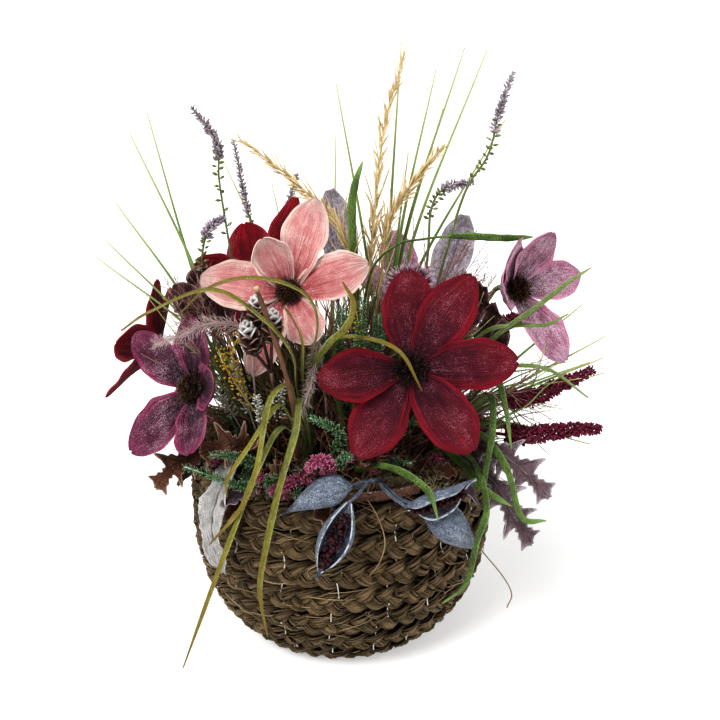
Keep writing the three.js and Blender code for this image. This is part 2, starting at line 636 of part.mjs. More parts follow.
function amaranths() {
  const tail = { stem: 2, core: 4.6, reach: 7.2, lean: 2, from: 0.42, rings: 9, sides: 6 };
  sprigs('amaranth_right', [62, -34], COLOURS.amaranth, [
    [tail, [92, -40, 200], [118, -52, 208], [140, -54, 210], [164, -48, 219], [186, -42, 227]],
    [tail, [90, -46, 182], [118, -61, 184], [142, -63, 185], [168, -58, 186], [192, -54, 185]],
  ]);
  sprigs('amaranth_back', [60, 40], COLOURS.amaranth, [
    [tail, [92, 64, 196], [124, 82, 216], [152, 96, 222], [176, 104, 214]],
    [tail, [84, 78, 176], [104, 108, 180], [122, 132, 172], [136, 148, 154]],
  ]);
}

function heathers() {
  const leafy = { stem: 1.1, core: 0.9, reach: 3.8, lean: 3, from: 0.4, rings: 9 };
  sprigs('heather_left', [-52, -56], COLOURS.heather, [
    [leafy, [-54, -92, 160], [-64, -112, 168], [-80, -118, 177], [-104, -114, 184]],
    [{ ...leafy, rings: 8 }, [-58, -88, 174], [-70, -102, 186], [-86, -112, 192]],
  ]);
  sprigs('heather_front', [-4, -76], COLOURS.heather, [
    [leafy, [-4, -102, 186], [2, -114, 207], [-7, -121, 218], [-18, -121, 223]],
    [{ ...leafy, rings: 7 }, [0, -98, 176], [4, -112, 190], [8, -124, 196]],
  ]);
  const flowering = { ...leafy, reach: 3.6, lean: 1.2, from: 0.45 };
  sprigs('heather_pink', [-12, -80], COLOURS.heatherPink, [
    [flowering, [-8, -104, 170], [-6, -124, 190], [-12, -133, 198], [-20, -134, 192]],
    [flowering, [-18, -94, 170], [-32, -112, 170], [-47, -118, 166]],
  ]);
  sprigs('heather_back', [-36, 74], COLOURS.heather, [
    [leafy, [-48, 102, 172], [-62, 124, 178], [-80, 138, 170]],
    [{ ...leafy, rings: 8 }, [-44, 98, 178], [-54, 130, 168], [-58, 146, 144]],
  ]);
}

// Fine sprigs that fill between the blooms.
function fillers() {
  const hairy = { stem: 1, core: 0.7, reach: 5, lean: 3, from: 0.45, rings: 16 };
  sprigs('hairy_sprig', [-58, -42], COLOURS.hairy, [
    [hairy, [-60, -66, 226], [-62, -78, 266], [-82, -92, 279], [-104, -98, 272], [-121, -98, 266]],
  ]);
  const beads = { stem: 0.9, core: 0.7, reach: 3.4, lean: 0.6, from: 0.5, rings: 8 };
  sprigs('mustard_sprigs', [-40, -44], COLOURS.mustard, [
    [beads, [-60, -64, 210], [-72, -84, 250], [-62, -96, 278]],
    [beads, [-56, -70, 200], [-74, -86, 240], [-80, -92, 260]],
  ]);
}

// ---- leaves -----------------------------------------------------------------------------------
// Half the width of a cut leaf: "lobes" pointed lobes to each side, deepest in the middle.
function lobedWidth(most, lobes) {
  return (t) => {
    const body = most * Math.sin(Math.PI * (0.08 + 0.86 * t)) ** 0.7;
    const step = Math.round(t * lobes * 2);
    return body * (step % 2 === 1 ? 1 : 0.42) + 0.6;
  };
}

const ovalWidth = (most) => (t) => most * Math.sin(Math.PI * (0.06 + 0.9 * t)) ** 0.7;

// Leaves on stalks from one foot: [stalk points, leaf points]. Stalk and leaf are one plate, which
// is a narrow strip as far as the leaf's first point.
function leafSpray(name, at, colour, spec, leaves) {
  const strip = 1.1;
  plant(name, at, colour, (from) => leaves.map(([stalk, leaf]) => {
    const start = (stalk.length + 0.35) / (stalk.length + leaf.length);
    const widthAt = (t) => (t < start ? strip : spec.widthAt((t - start) / (1 - start)));
    const rows = Math.round(spec.along / (1 - start));
    const points = [from(stalk[0]), ...stalk, ...leaf];
    return plate(2, rows, leafSurface(points, widthAt, spec.facing, spec.cup), LEAF_THICKNESS);
  }));
}

function leaves() {
  const lobed = { along: 8, widthAt: lobedWidth(15, 4), cup: 0.18 };
  leafSpray('oak_leaves_right', [74, -28], COLOURS.oak, { ...lobed, facing: [0.3, -0.9, 0.3] }, [
    [[[88, -44, 170]], [[110, -68, 176], [131, -78, 164], [152, -82, 143]]],
    [[[86, -52, 166]], [[108, -84, 160], [124, -94, 136], [140, -91, 110]]],
  ]);
  leafSpray('oak_leaves_left', [-70, -34], COLOURS.oakBrown, { ...lobed, facing: [-0.3, -0.9, 0.4] }, [
    [[[-64, -62, 178]], [[-65, -80, 184], [-77, -91, 190], [-96, -98, 186]]],
    [[[-84, -40, 166]], [[-102, -52, 166], [-120, -62, 160], [-136, -66, 142]]],
  ]);
  leafSpray('oak_leaves_back', [4, 74], COLOURS.oak, { ...lobed, facing: [0, 0.9, 0.4] }, [
    [[[-2, 94, 174]], [[-10, 116, 172], [-20, 138, 158], [-26, 152, 132]]],
    [[[12, 94, 172]], [[26, 118, 166], [40, 136, 152], [50, 148, 126]]],
  ]);
  const felt = { along: 5, widthAt: ovalWidth(15), cup: 0.3, facing: [-0.2, -0.9, 0.4] };
  leafSpray('felt_leaf_right', [62, 14], COLOURS.felt, felt, [
    [[[74, 20, 240]], [[82, 34, 276], [92, 46, 300], [98, 54, 322]]],
  ]);
  leafSpray('felt_leaf_left', [-12, 30], COLOURS.felt, felt, [
    [[[-4, 36, 240]], [[1, 44, 288], [-3, 52, 316], [-9, 60, 341]]],
  ]);
  const velvet = { along: 8, widthAt: lobedWidth(10, 4), cup: 0.2, facing: [-0.6, -0.75, 0.3] };
  leafSpray('velvet_leaf', [-72, -42], COLOURS.velvet, velvet, [
    [[[-76, -60, 174]], [[-78, -90, 170], [-87, -107, 148], [-89, -106, 122], [-82, -110, 98]]],
  ]);
}

// ---- cones, twig, bark, pods and thistle ----------------------------------------------------------
// A roll along a curve, raised into beads or scales: on every ring each second corner stands out,
// and the next ring does so with the corners between.
function beadedRoll(points, radius, sides, rings, plump = 0.15) {
  const curve = smooth(points);
  const frames = curve.computeFrenetFrames(rings, false);
  const geometry = new THREE.CylinderGeometry(1, 1, 1, sides, rings);
  const corners = geometry.attributes.position;
  for (let i = 0; i < corners.count; i += 1) {
    const t = 0.5 - corners.getY(i);
    const ring = Math.round(t * rings);
    const corner = Math.round((Math.atan2(corners.getX(i), corners.getZ(i)) * sides) / (2 * Math.PI));
    const raised = (corner + ring + sides) % 2 === 0 && ring > 0 && ring < rings;
    const swell = radius * (plump + (1 - plump) * Math.sin(Math.PI * (0.08 + 0.84 * t)) ** 0.8);
    const reach = swell * (raised ? 1.05 : 0.72);
    const spot = curve.getPoint(t)
      .addScaledVector(frames.normals[ring], corners.getX(i) * reach)
      .addScaledVector(frames.binormals[ring], -corners.getZ(i) * reach);
    corners.setXYZ(i, spot.x, spot.y, spot.z);
  }
  return outward(geometry);
}

// Three small pine cones on a forked twig.
function coneSpray() {
  const fork = [-45, -92, 244];
  const cones = [
    [[-54, -106, 263], [-56, -111, 274], [-58, -114, 285]],
    [[-51, -98, 277], [-52, -99, 288], [-52, -99, 298]],
    [[-43, -104, 270], [-42, -107, 281], [-41, -108, 291]],
  ];
  plant('cone_spray', [-44, -54], COLOURS.cone, (from) => [
    rod([from(fork), [-43, -82, 212], fork], thinning(1.6, 1.3), 3, 3),
    ...cones.map(([base]) => rod([fork, base], thinning(1.2, 1.1), 3, 1)),
    ...cones.map((points) => beadedRoll(points, 10.5, 6, 5)),
  ]);
}

// A cut twig that stands between the blades of the front.
function cutTwig() {
  plant('cut_twig', [-30, -67], COLOURS.bark, (from) => [
    rod([from([-29, -92, 196]), [-29, -92, 196], [-31, -116, 241], [-41, -122, 284], [-50, -121, 312]],
      thinning(1.8, 1.6), 4, 6),
  ]);
}

// A strip of bark that lies on the front of the rim.
function barkStrip() {
  const height = 6;
  const rimTop = BASKET_HEIGHT + 0.5;
  const points = [-113, -95, -77, -59].map((angle) => {
    const radius = BELLY_RADIUS - 8;
    return [radius * Math.cos(rad(angle)), radius * Math.sin(rad(angle)), rimTop + GAP + height / 2];
  });
  const surface = leafSurface(points, () => height / 2, [0.05, -1, 0]);
  place('bark_strip', plate(1, 8, surface, 3), COLOURS.bark, 0.9);
}

// Pods on a vine over the front of the rim: two closed, two split open on rows of seeds.
function podSpray() {
  const swell = (most) => (t) => most * Math.sin(Math.PI * (0.05 + 0.9 * t)) ** 1.2 + 0.5;
  const vine = thinning(1.5, 1.2);
  const shell = (points) => plate(4, 6, leafSurface(points, swell(12), [0, -1, 0.25], 0.7), 1.4);
  const left = [[8, -134, 168], [-2, -138, 142], [-15, -133, 108]];
  const right = [[46, -134, 164], [66, -139, 174], [92, -126, 181]];
  const main = [[28, -92, 164], [25, -114, 174], [8, -128, 177]];
  plant('pod_spray', [30, -72], COLOURS.pod, (from) => [
    rod([from(main[0]), ...main], vine, 3, 5),
    rod([[20, -118, 175], [14, -130, 172], left[0]], vine, 3, 2),
    rod([[26, -106, 170], [36, -126, 168], right[0]], vine, 3, 2),
    rod([[28, -97, 166], [42, -118, 162], [58, -128, 162]], vine, 3, 2),
    rod([[10, -127, 176], [-8, -131, 174], [-38, -134, 158]], swell(10), 6, 5),
    rod([[56, -127, 162], [76, -131, 148], [98, -121, 121]], swell(11.5), 6, 5),
    shell(left),
    shell(right),
  ]);
  seedRow('pod_seeds_left', left);
  seedRow('pod_seeds_right', right);
}

// Round seeds in a row that lies in an open pod: a roll raised into beads, ring by ring.
function seedRow(name, points) {
  const floor = leafSurface(points, () => 1, [0, -1, 0.25]);
  const curve = smooth(points);
  const lifted = [0.16, 0.4, 0.62, 0.84].map((v) => {
    const side = floor(1, v).sub(curve.getPoint(v)).normalize();
    const normal = side.clone().cross(curve.getTangent(v)).normalize();
    return curve.getPoint(v).addScaledVector(normal, 5.8).toArray();
  });
  place(name, beadedRoll(lifted, 4.2, 6, 8), COLOURS.seed, 0.6);
}

// A thistle head: a ball whose every second corner is drawn out into a needle.
function thistle() {
  const centre = vec(52, -12, 280);
  const core = 7;
  const needle = 22;
  const columns = 10;
  const ball = new THREE.SphereGeometry(1, columns, 8);
  const corners = ball.attributes.position;
  for (let i = 0; i < corners.count; i += 1) {
    const column = i % (columns + 1);
    const row = Math.floor(i / (columns + 1));
    const drawnOut = (column + row) % 2 === 0 && row > 0 && row < 7;
    const reach = drawnOut ? needle : core;
    corners.setXYZ(i, corners.getX(i) * reach, corners.getZ(i) * reach, corners.getY(i) * reach);
  }
  ball.translate(centre.x, centre.y, centre.z);
  const under = centre.clone().add(vec(0, 2, -6)).toArray();
  plant('thistle', [24, -10], COLOURS.thistle, (from) => [
    rod([from([36, -8, 230]), [36, -8, 230], under], thinning(1.8, 1.6), 4, 3),
    outward(ball),
  ]);
}

basket();
mossCollar();
blooms();
bladeBunches();
grasses();
plumes();
lavenders();
amaranths();
heathers();
fillers();
leaves();
coneSpray();
cutTwig();
barkStrip();
podSpray();
thistle();
foamBlock();
arrangement.name = 'flower_basket';
export default arrangement;
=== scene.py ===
# A flower basket arrangement: a round basket of braided seagrass, filled with floral foam, that
# holds artificial blooms, blades, grasses, plumes, spikes, pods, cones and cut leaves.
# Sizes are in millimetres and are turned into metres where a piece is made. A body is its points,
# a list of face arrays, and the grain that its material reads at each point: the place across
# from -1 to 1, the share of the length, and the item's tone; on the braid the tone also carries
# painted shade.
import bpy
import numpy as np
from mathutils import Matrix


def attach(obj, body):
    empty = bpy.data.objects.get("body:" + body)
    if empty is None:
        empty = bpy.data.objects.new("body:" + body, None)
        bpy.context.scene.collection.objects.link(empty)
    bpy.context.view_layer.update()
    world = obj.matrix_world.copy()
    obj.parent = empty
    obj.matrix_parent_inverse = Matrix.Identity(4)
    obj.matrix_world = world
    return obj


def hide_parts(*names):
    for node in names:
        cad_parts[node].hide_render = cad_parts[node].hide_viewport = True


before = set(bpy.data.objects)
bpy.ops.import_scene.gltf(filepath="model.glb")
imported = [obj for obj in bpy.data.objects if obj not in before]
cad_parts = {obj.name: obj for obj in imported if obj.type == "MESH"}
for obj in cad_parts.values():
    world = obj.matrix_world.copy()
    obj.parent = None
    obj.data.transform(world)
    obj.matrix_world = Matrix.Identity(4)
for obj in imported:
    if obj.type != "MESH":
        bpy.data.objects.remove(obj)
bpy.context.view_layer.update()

# ---- Camera, light and floor --------------------------------------------------------------------
# The camera looks down on the arrangement by 20 degrees from 0.7 m in front, as a photographer
# who stands at a table does. A broad soft light comes from the upper left, a weaker one from the
# right. The white floor glows a little, as lit paper does, and turns up far away into a lit wall.
FLOOR_RADIUS = 11           # metres of level paper
FLOOR_BEND = 3              # radius in metres of the bend that takes it up
SPOKES = 96
WHITE = (1, 1, 1, 1)
TURN = 2 * np.pi
scene = bpy.context.scene
scene.view_settings.view_transform = "Standard"
scene.view_settings.look = "High Contrast"


def stand(name, data, place=(0, 0, 0), turn=(0, 0, 0)):
    """Puts a camera, a light or a mesh at a place, turned by the given degrees."""
    thing = bpy.data.objects.new(name, data)
    thing.location = place
    thing.rotation_euler = np.radians(turn)
    scene.collection.objects.link(thing)
    return thing


def polar(radius, turn, z):
    """Points at a radius, a turn about the upright axis and a height."""
    return np.stack(np.broadcast_arrays(radius * np.cos(turn), radius * np.sin(turn), z), -1)


def grid_faces(rows, columns, loop_rows=False, loop_columns=False):
    """The squares between neighbours in a grid of points. A looped side closes on its start."""
    spot = np.arange(rows * columns).reshape(rows, columns)
    below = np.roll(spot, -1, 0)
    squares = np.stack([spot, np.roll(spot, -1, 1), np.roll(below, -1, 1), below], -1)
    return squares[:rows - (not loop_rows), :columns - (not loop_columns)].reshape(-1, 4)


def mesh_of(name, points, faces, material):
    """A smooth mesh with one material. Each array of faces has its own number of corners."""
    mesh = bpy.data.meshes.new(name)
    mesh.vertices.add(len(points))
    mesh.vertices.foreach_set("co", points.astype(np.float32).ravel())
    corners = np.concatenate([face.ravel() for face in faces])
    sizes = np.concatenate([np.full(len(face), face.shape[1]) for face in faces])
    mesh.loops.add(len(corners))
    mesh.loops.foreach_set("vertex_index", corners.astype(np.int32))
    mesh.polygons.add(len(sizes))
    mesh.polygons.foreach_set("loop_start", (np.cumsum(sizes) - sizes).astype(np.int32))
    mesh.polygons.foreach_set("use_smooth", np.ones(len(sizes), bool))
    mesh.update(calc_edges=True)
    mesh.materials.append(material)
    return mesh


def plug(tree, inputs, values):
    """Gives each named or numbered input its plain value, or a link from its output."""
    for key, value in values.items():
        if isinstance(value, bpy.types.NodeSocket):
            tree.links.new(value, inputs[key])
        else:
            inputs[key].default_value = value


def node(tree, kind, inputs=None, **settings):
    """Adds a shader node and returns its outputs."""
    made = tree.nodes.new("ShaderNode" + kind)
    for key, value in settings.items():
        setattr(made, key, value)
    plug(tree, made.inputs, inputs or {})
    return made.outputs


def new_material(name):
    """A new material, its node tree and its shader's inputs."""
    made = bpy.data.materials.new(name)
    made.use_nodes = True
    return made, made.node_tree, made.node_tree.nodes["Principled BSDF"].inputs


camera = bpy.data.cameras.new("camera")
camera.lens = 47.5
camera.sensor_width = 36
scene.camera = stand("camera", camera, (0.015, -0.693, 0.4715), (70, 0, 0))
for name, kind, energy, breadth, wide, place, turn in (
        ("key_light", "SUN", 2.3, "angle", 0.45, (-0.8, -0.9, 1.6), (40, 0, -38)),
        ("fill_light", "AREA", 3.5, "size", 0.9, (1.2, -0.7, 0.8), (62, 0, 58))):
    light = bpy.data.lights.new(name, kind)
    light.energy = energy
    setattr(light, breadth, wide)
    stand(name, light, place, turn)
world = bpy.data.worlds.new("studio")
world.use_nodes = True
sky = world.node_tree
plug(sky, sky.nodes["Background"].inputs, {"Color": WHITE, "Strength": 0.48})
scene.world = world

paper, tree, shader = new_material("white_paper")
height = node(tree, "SeparateXYZ", {0: node(tree, "NewGeometry")["Position"]})["Z"]
glow = node(tree, "MapRange", {"Value": height, "From Max": 0.9, "To Min": 0.3, "To Max": 0.62})[0]
plug(tree, shader, {"Base Color": (0.66, 0.66, 0.657, 1), "Roughness": 0.9,
                    "Emission Color": WHITE, "Emission Strength": glow})
bend = np.radians(np.arange(15, 91, 15))
radii = np.concatenate([[0.001, 1, 4, FLOOR_RADIUS], FLOOR_RADIUS + FLOOR_BEND * np.sin(bend)])
heights = np.concatenate([np.zeros(4), FLOOR_BEND - FLOOR_BEND * np.cos(bend)])
floor_points = polar(radii, np.linspace(0, TURN, SPOKES, endpoint=False)[:, None], heights)
floor = stand("floor", mesh_of("floor", floor_points.reshape(-1, 3),
                               [grid_faces(SPOKES, len(radii), True)], paper))

# ---- Basket -------------------------------------------------------------------------------------
# A round bowl of flat seagrass braid, coiled row upon row and stitched with white thread. Each
# row is a braid of three flat strands, and each strand is a bundle of dry, fibrous leaves.
MM = 0.001
BASKET_HEIGHT = 154.7
BRAID_ROWS = 7
FIRST_RING = 1.5
ROW_PITCH = (BASKET_HEIGHT - 2 * FIRST_RING) / BRAID_ROWS
BASE_RADIUS = 74
BELLY_RADIUS = 119
BRAID_PERIOD = 43           # length in which a strand crosses the row and comes back
BRAID_SWAY = 6.3            # how far a strand's middle sways up and down its row
BRAID_WEAVE = 2.7           # how far it moves in and out as it crosses the others
LEAVES_IN_STRAND = 8        # flat dry leaves side by side in one strand
LEAF_HALF_WIDTH = 1.2
LEAF_HALF_DEPTH = 0.55
STITCHES = 19               # in each groove
FLAT_ROWS = (65, 47.5, 30, 12.5)    # radii of the rows under the basket
LINING_SIDES = 72
TENDRILS = [[(96, -66, 106), (108, -74, 92), (122, -80, 76), (129, -82, 62), (126, -82, 50)],
            [(20, -112, 158), (27, -122, 150), (32, -126, 134), (29, -126, 118), (22, -122, 104)]]
GLOSS = 0.3


def unit(vectors):
    """Each vector divided by its own length."""
    return vectors / np.maximum(np.linalg.norm(vectors, axis=-1, keepdims=True), 1e-12)


def draws(seed, *shape):
    """A seeded source of even draws between two values, all in one shape."""
    chance = np.random.default_rng(seed)
    return lambda low, high: chance.uniform(low, high, shape)


def grain_of(shape, across, along, tone):
    """The grain of points that lie in a grid of the given shape."""
    parts = [np.broadcast_to(part, shape) for part in (across, along, tone)]
    return np.stack(parts, -1).reshape(-1, 3)


def ring_outline(sides):
    """A round outline of radius 1."""
    a = np.linspace(0, TURN, sides, endpoint=False)
    return np.stack([np.cos(a), np.sin(a)], -1)


def ring_step(lines):
    """The step from the point before to the point after along closed lines."""
    return np.roll(lines, -1, 1) - np.roll(lines, 1, 1)


def sweep(lines, across, outlines, tone=0.0, ring=False):
    """Carries closed outlines along lines. With "along" the line's direction and face = along x
    across, a point is line + across * outline x + face * outline y. lines is (n, m, 3), outlines
    (n, m, k, 2)."""
    along = unit(ring_step(lines) if ring else np.gradient(lines, axis=1))
    across = unit(across - along * (across * along).sum(-1, keepdims=True))
    face = np.cross(along, across)
    n, m, k = *lines.shape[:2], outlines.shape[-2]
    outlines = np.broadcast_to(outlines, (n, m, k, 2))
    points = lines[:, :, None] + across[:, :, None] * outlines[..., :1] \
        + face[:, :, None] * outlines[..., 1:]
    starts = np.arange(n)[:, None] * m * k
    faces = [(starts[..., None] + grid_faces(m, k, ring, True)).reshape(-1, 4)]
    if not ring:
        faces += [starts + np.arange(k)[::-1], starts + (m - 1) * k + np.arange(k)]
    tone = np.asarray(tone, float).reshape(n if np.size(tone) > 1 else 1, -1, 1)
    return points.reshape(-1, 3), faces, grain_of((n, m, k), 2 * np.arange(k) / k - 1,
                                                  np.linspace(0, 1, m)[:, None], tone)


def line_through(points, count):
    """A smooth line through given points. With a, b, c, d four neighbours and w the share of
    the way from b to c, and slopes (c - a) / 2 and (d - b) / 2 at b and c, it is the cubic that
    meets both. The ends are mirrored to get a first a and a last d."""
    p = np.asarray(points, float)
    p = np.vstack([2 * p[0] - p[1], p, 2 * p[-1] - p[-2]])
    s = np.linspace(0, len(points) - 1, count)
    i = np.minimum(s.astype(int), len(points) - 2)
    w = (s - i)[:, None]
    a, b, c, d = p[i], p[i + 1], p[i + 2], p[i + 3]
    t0, t1 = (c - a) / 2, (d - b) / 2
    return b + t0 * w + (3 * (c - b) - 2 * t0 - t1) * w ** 2 + (2 * (b - c) + t0 + t1) * w ** 3


def joined(*bodies):
    """Several bodies as one: their points in one array and their faces counted on."""
    offsets = np.cumsum([0] + [len(body[0]) for body in bodies])
    faces = [face + offset for body, offset in zip(bodies, offsets) for face in body[1]]
    return np.concatenate([b[0] for b in bodies]), faces, np.concatenate([b[2] for b in bodies])


def make_piece(name, body, material, slot, *stands_for):
    """Makes a piece of a body. It rides on the arrangement and stands for the named solid."""
    points, faces, grain = body
    mesh = mesh_of(name, points * MM, faces, material)
    mesh.attributes.new("grain", "FLOAT_VECTOR", "POINT").data.foreach_set(
        "vector", grain.astype(np.float32).ravel())
    piece = stand(name, mesh)
    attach(piece, "root")
    if stands_for:
        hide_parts(*stands_for)


def belly_radius(z):
    """base + (belly - base) * (1 - (1 - z / 140) ** 4), level above 140 mm."""
    return BASE_RADIUS + (BELLY_RADIUS - BASE_RADIUS) * (1 - (1 - np.minimum(z / 140, 1)) ** 4)


def braid_row(radius, z, lean, seed):
    """One row of braid: with turn t round the row and strand k, phase = periods * t + k / 3 turns,
    up = sway * sin(phase) and out = weave * sin(2 * phase), laid on a wall that leans out by
    "lean" degrees. Each strand is a bundle of flat leaves: leaf j lies beside the strand's middle,
    crowned out of it there, wanders to and fro, twists a little and has sharp edges. Where a
    strand dips under the others its tone falls to a fifth, as painted shade of the braid's hollows."""
    chance = np.random.default_rng(seed)
    periods = max(3, round(TURN * radius / BRAID_PERIOD))
    turn = np.linspace(0, TURN, periods * (14 if lean < 89 else 9), endpoint=False)
    strand, leaf = np.divmod(np.arange(3 * LEAVES_IN_STRAND)[:, None], LEAVES_IN_STRAND)
    half = (LEAVES_IN_STRAND - 1) / 2
    place = (leaf - half) / half
    phase = periods * turn + TURN * strand / 3 + seed
    wobble = 0.6 * np.sin(5 * turn + seed) + 0.5 * np.sin(11 * turn + 2 * seed)
    loose = 1 + 0.14 * np.sin(3 * turn + strand * 2 + seed)

    def stray(most, waves):
        turns = chance.uniform(0, TURN, (len(leaf), 1))
        return most * np.sin(np.round(periods * waves) * turn + turns)

    tuck = 1 - 0.25 * np.abs(np.sin(phase)) ** 3
    beside = 4.9 * place * tuck + stray(0.6, 0.6) + stray(0.4, 1.7)
    crown = 1.5 * (1 - place ** 2) + stray(0.6, 0.8) + stray(0.4, 2.3)
    slope = np.arctan2(BRAID_SWAY * np.cos(phase) * periods, radius)
    tilt = np.radians(lean)
    up = BRAID_SWAY * np.sin(phase) * loose + wobble + beside * np.cos(slope)
    out = BRAID_WEAVE * np.sin(2 * phase) + crown - 0.4
    lines = polar(radius + out * np.cos(tilt) + up * np.sin(tilt),
                  turn - beside * np.sin(slope) / max(radius, 20),
                  z - out * np.sin(tilt) + up * np.cos(tilt))
    across = np.cross(polar(np.cos(tilt), turn, -np.sin(tilt)), ring_step(lines))
    segment = np.floor(phase / np.pi + 0.25).astype(int) % (2 * periods)
    tone = np.take_along_axis(chance.uniform(0, 1, (len(leaf), 2 * periods)), segment, 1)
    corners = np.array([(-1, 0), (-0.4, 0.95), (0.5, 0.8), (1, 0), (0, -0.9)])
    swell = (0.8 + 0.4 * tone + stray(0.16, 1.3))[..., None]
    # Painted shade: the tone falls to a fifth where the strand lies deep (out low) under the
    # others.
    tone = tone * (0.2 + 0.8 * np.clip(0.45 + out / 6.5, 0, 1))
    twist = (stray(0.5, 0.7) + 0.35 * place)[..., None]
    x, y = LEAF_HALF_WIDTH * swell * corners[:, 0], LEAF_HALF_DEPTH * corners[:, 1]
    outlines = np.stack([x * np.cos(twist) - y * np.sin(twist),
                         x * np.sin(twist) + y * np.cos(twist)], -1)
    return sweep(lines, across, outlines, tone, ring=True)


def basket_rows():
    """The wall's rows at even heights, leant as the belly's profile is, and flat rows below."""
    rows = []
    for i, z in enumerate(FIRST_RING + ROW_PITCH * (np.arange(BRAID_ROWS) + 0.5)):
        lean = np.degrees(np.arctan2(belly_radius(z + 1) - belly_radius(z - 1), 2))
        rows.append(braid_row(belly_radius(z) - 2.9, z, lean, 30 + i))
    return rows + [braid_row(radius, 5.6, 90, 60 + i) for i, radius in enumerate(FLAT_ROWS)]


def stitch_rows():
    """White thread stitches in the grooves: at each groove and at even turns, an upright stitch
    13 mm long lies along the wall and dips into the groove, with a little sway of its own."""
    chance = np.random.default_rng(5)
    grooves = FIRST_RING + ROW_PITCH * np.arange(1, BRAID_ROWS)
    turns = np.linspace(0, TURN, STITCHES, endpoint=False) + 0.02 * np.arange(len(grooves))[:, None]
    turns = (turns + chance.uniform(-0.03, 0.03, turns.shape)).reshape(-1, 1)
    rise = np.linspace(-1, 1, 5)
    z = np.repeat(grooves, STITCHES)[:, None] + rise * 6.5
    radius = belly_radius(z) - 0.2 - 2.6 * (1 - rise ** 2)
    sway = chance.uniform(-0.012, 0.012, turns.shape) * rise
    return sweep(polar(radius, turns + sway, z), polar(1, turns + TURN / 4, 0),
                 0.55 * ring_outline(5), chance.uniform(0, 1, len(turns)))


def lining():
    """The inside of the wall, near black as painted shade where it shows through the braid: a
    turned wall behind the braid, from the rim to the floor and over the floor, about 5 mm thick,
    closed on its axis."""
    z = np.linspace(2.5, BASKET_HEIGHT - 4, 14)
    inner = np.minimum(belly_radius(z[::-1]) - 13, 106)
    radius = np.concatenate([[0.01], belly_radius(z) - 8, inner, [0.01]])
    height = np.concatenate([[2.5], z, np.maximum(z[::-1], 11), [11]])
    points = polar(radius, np.linspace(0, TURN, LINING_SIDES, endpoint=False)[:, None], height)
    faces = grid_faces(LINING_SIDES, len(radius), True, True)[:, [0, 3, 2, 1]]
    return points.reshape(-1, 3), [faces], grain_of(points.shape[:2], points[..., 0] / 120,
                                                    points[..., 2] / 160, 0)


def loose_fibres():
    """Fine fibres that have come off the braid: each follows the wall and lifts off it by up to
    3 mm in an arch, lift = 3 * sin(pi * share) ** 0.5."""
    draw = draws(8, 180, 1)
    share = np.linspace(0, 1, 9)
    turn = draw(0, TURN) + share * draw(-0.4, 0.4) + 0.02 * np.sin(6 * share + draw(0, TURN))
    z = np.clip(draw(14, 148) + share * draw(-14, 14), 3, 153)
    radius = belly_radius(z) - 0.6 + draw(0.5, 3) * np.sin(np.pi * share) ** 0.5
    outlines = draw(0.18, 0.4)[..., None, None] * ring_outline(3)
    return sweep(polar(radius, turn, z), (0, 0, 1), outlines, draw(0, 1))


def math(tree, operation, first, second=0.0):
    """The output of a Math node."""
    return node(tree, "Math", {0: first, 1: second}, operation=operation)[0]


def total(tree, start, *terms, clamp=False):
    """The output of start + output * factor for each of the terms."""
    for output, factor in terms:
        start = node(tree, "Math", {0: output, 1: factor, 2: start}, operation="MULTIPLY_ADD",
                     use_clamp=clamp)[0]
    return start


def mixed(tree, share, first, second, span=None, ease="LINEAR"):
    """A colour mix: first where share is low in its span and second where it is high."""
    if span:
        share = node(tree, "MapRange", {"Value": share, **span}, interpolation_type=ease)[0]
    colours = {key: colour if isinstance(colour, bpy.types.NodeSocket) else (*colour, 1)
               for key, colour in ((6, first), (7, second))}
    return node(tree, "Mix", {0: share, **colours}, data_type="RGBA")[2]


def effect(name, inputs, build):
    """A shader node group with a Mask output. Its inputs are numbers, apart from the grain."""
    group = bpy.data.node_groups.new(name, "ShaderNodeTree")
    for label in inputs:
        kind = "NodeSocketVector" if label == "Grain" else "NodeSocketFloat"
        group.interface.new_socket(label, in_out="INPUT", socket_type=kind)
    group.interface.new_socket("Mask", in_out="OUTPUT", socket_type="NodeSocketFloat")
    given = group.nodes.new("NodeGroupInput").outputs
    group.links.new(build(group, given), group.nodes.new("NodeGroupOutput").inputs["Mask"])
    return group


def noise(tree, point, scale, detail, roughness=0.5):
    """The output of a Noise Texture node."""
    return node(tree, "TexNoise", {"Vector": point, "Scale": scale, "Detail": detail,
                                   "Roughness": roughness})[0]


def drawn_noise(tree, grain, scales, roughness=0.5):
    """Noise over the grain, which is stretched by a scale for each of its three parts."""
    point = node(tree, "VectorMath", {0: grain, 1: scales}, operation="MULTIPLY")[0]
    return noise(tree, point, 1, 3, roughness)


def between(tree, value, low, high):
    """0 where the value is low, 1 where it is high, and even between."""
    return node(tree, "MapRange", {0: value, 1: low, 2: high})[0]


def streak_lines(tree, given):
    """Noise drawn out along the grain: across times Lines, along times Stretch, tone times 40."""
    scales = node(tree, "CombineXYZ", {0: given["Lines"], 1: given["Stretch"], 2: 40})[0]
    return between(tree, drawn_noise(tree, given["Grain"], scales, 0.65), 0.32, 0.68)


def blotch_clouds(tree, given):
    """Soft noise on Object coordinates, Scale times a metre, with its contrast raised."""
    place = node(tree, "TexCoord")["Object"]
    return between(tree, noise(tree, place, given["Scale"], 4, 0.6), 0.35, 0.65)


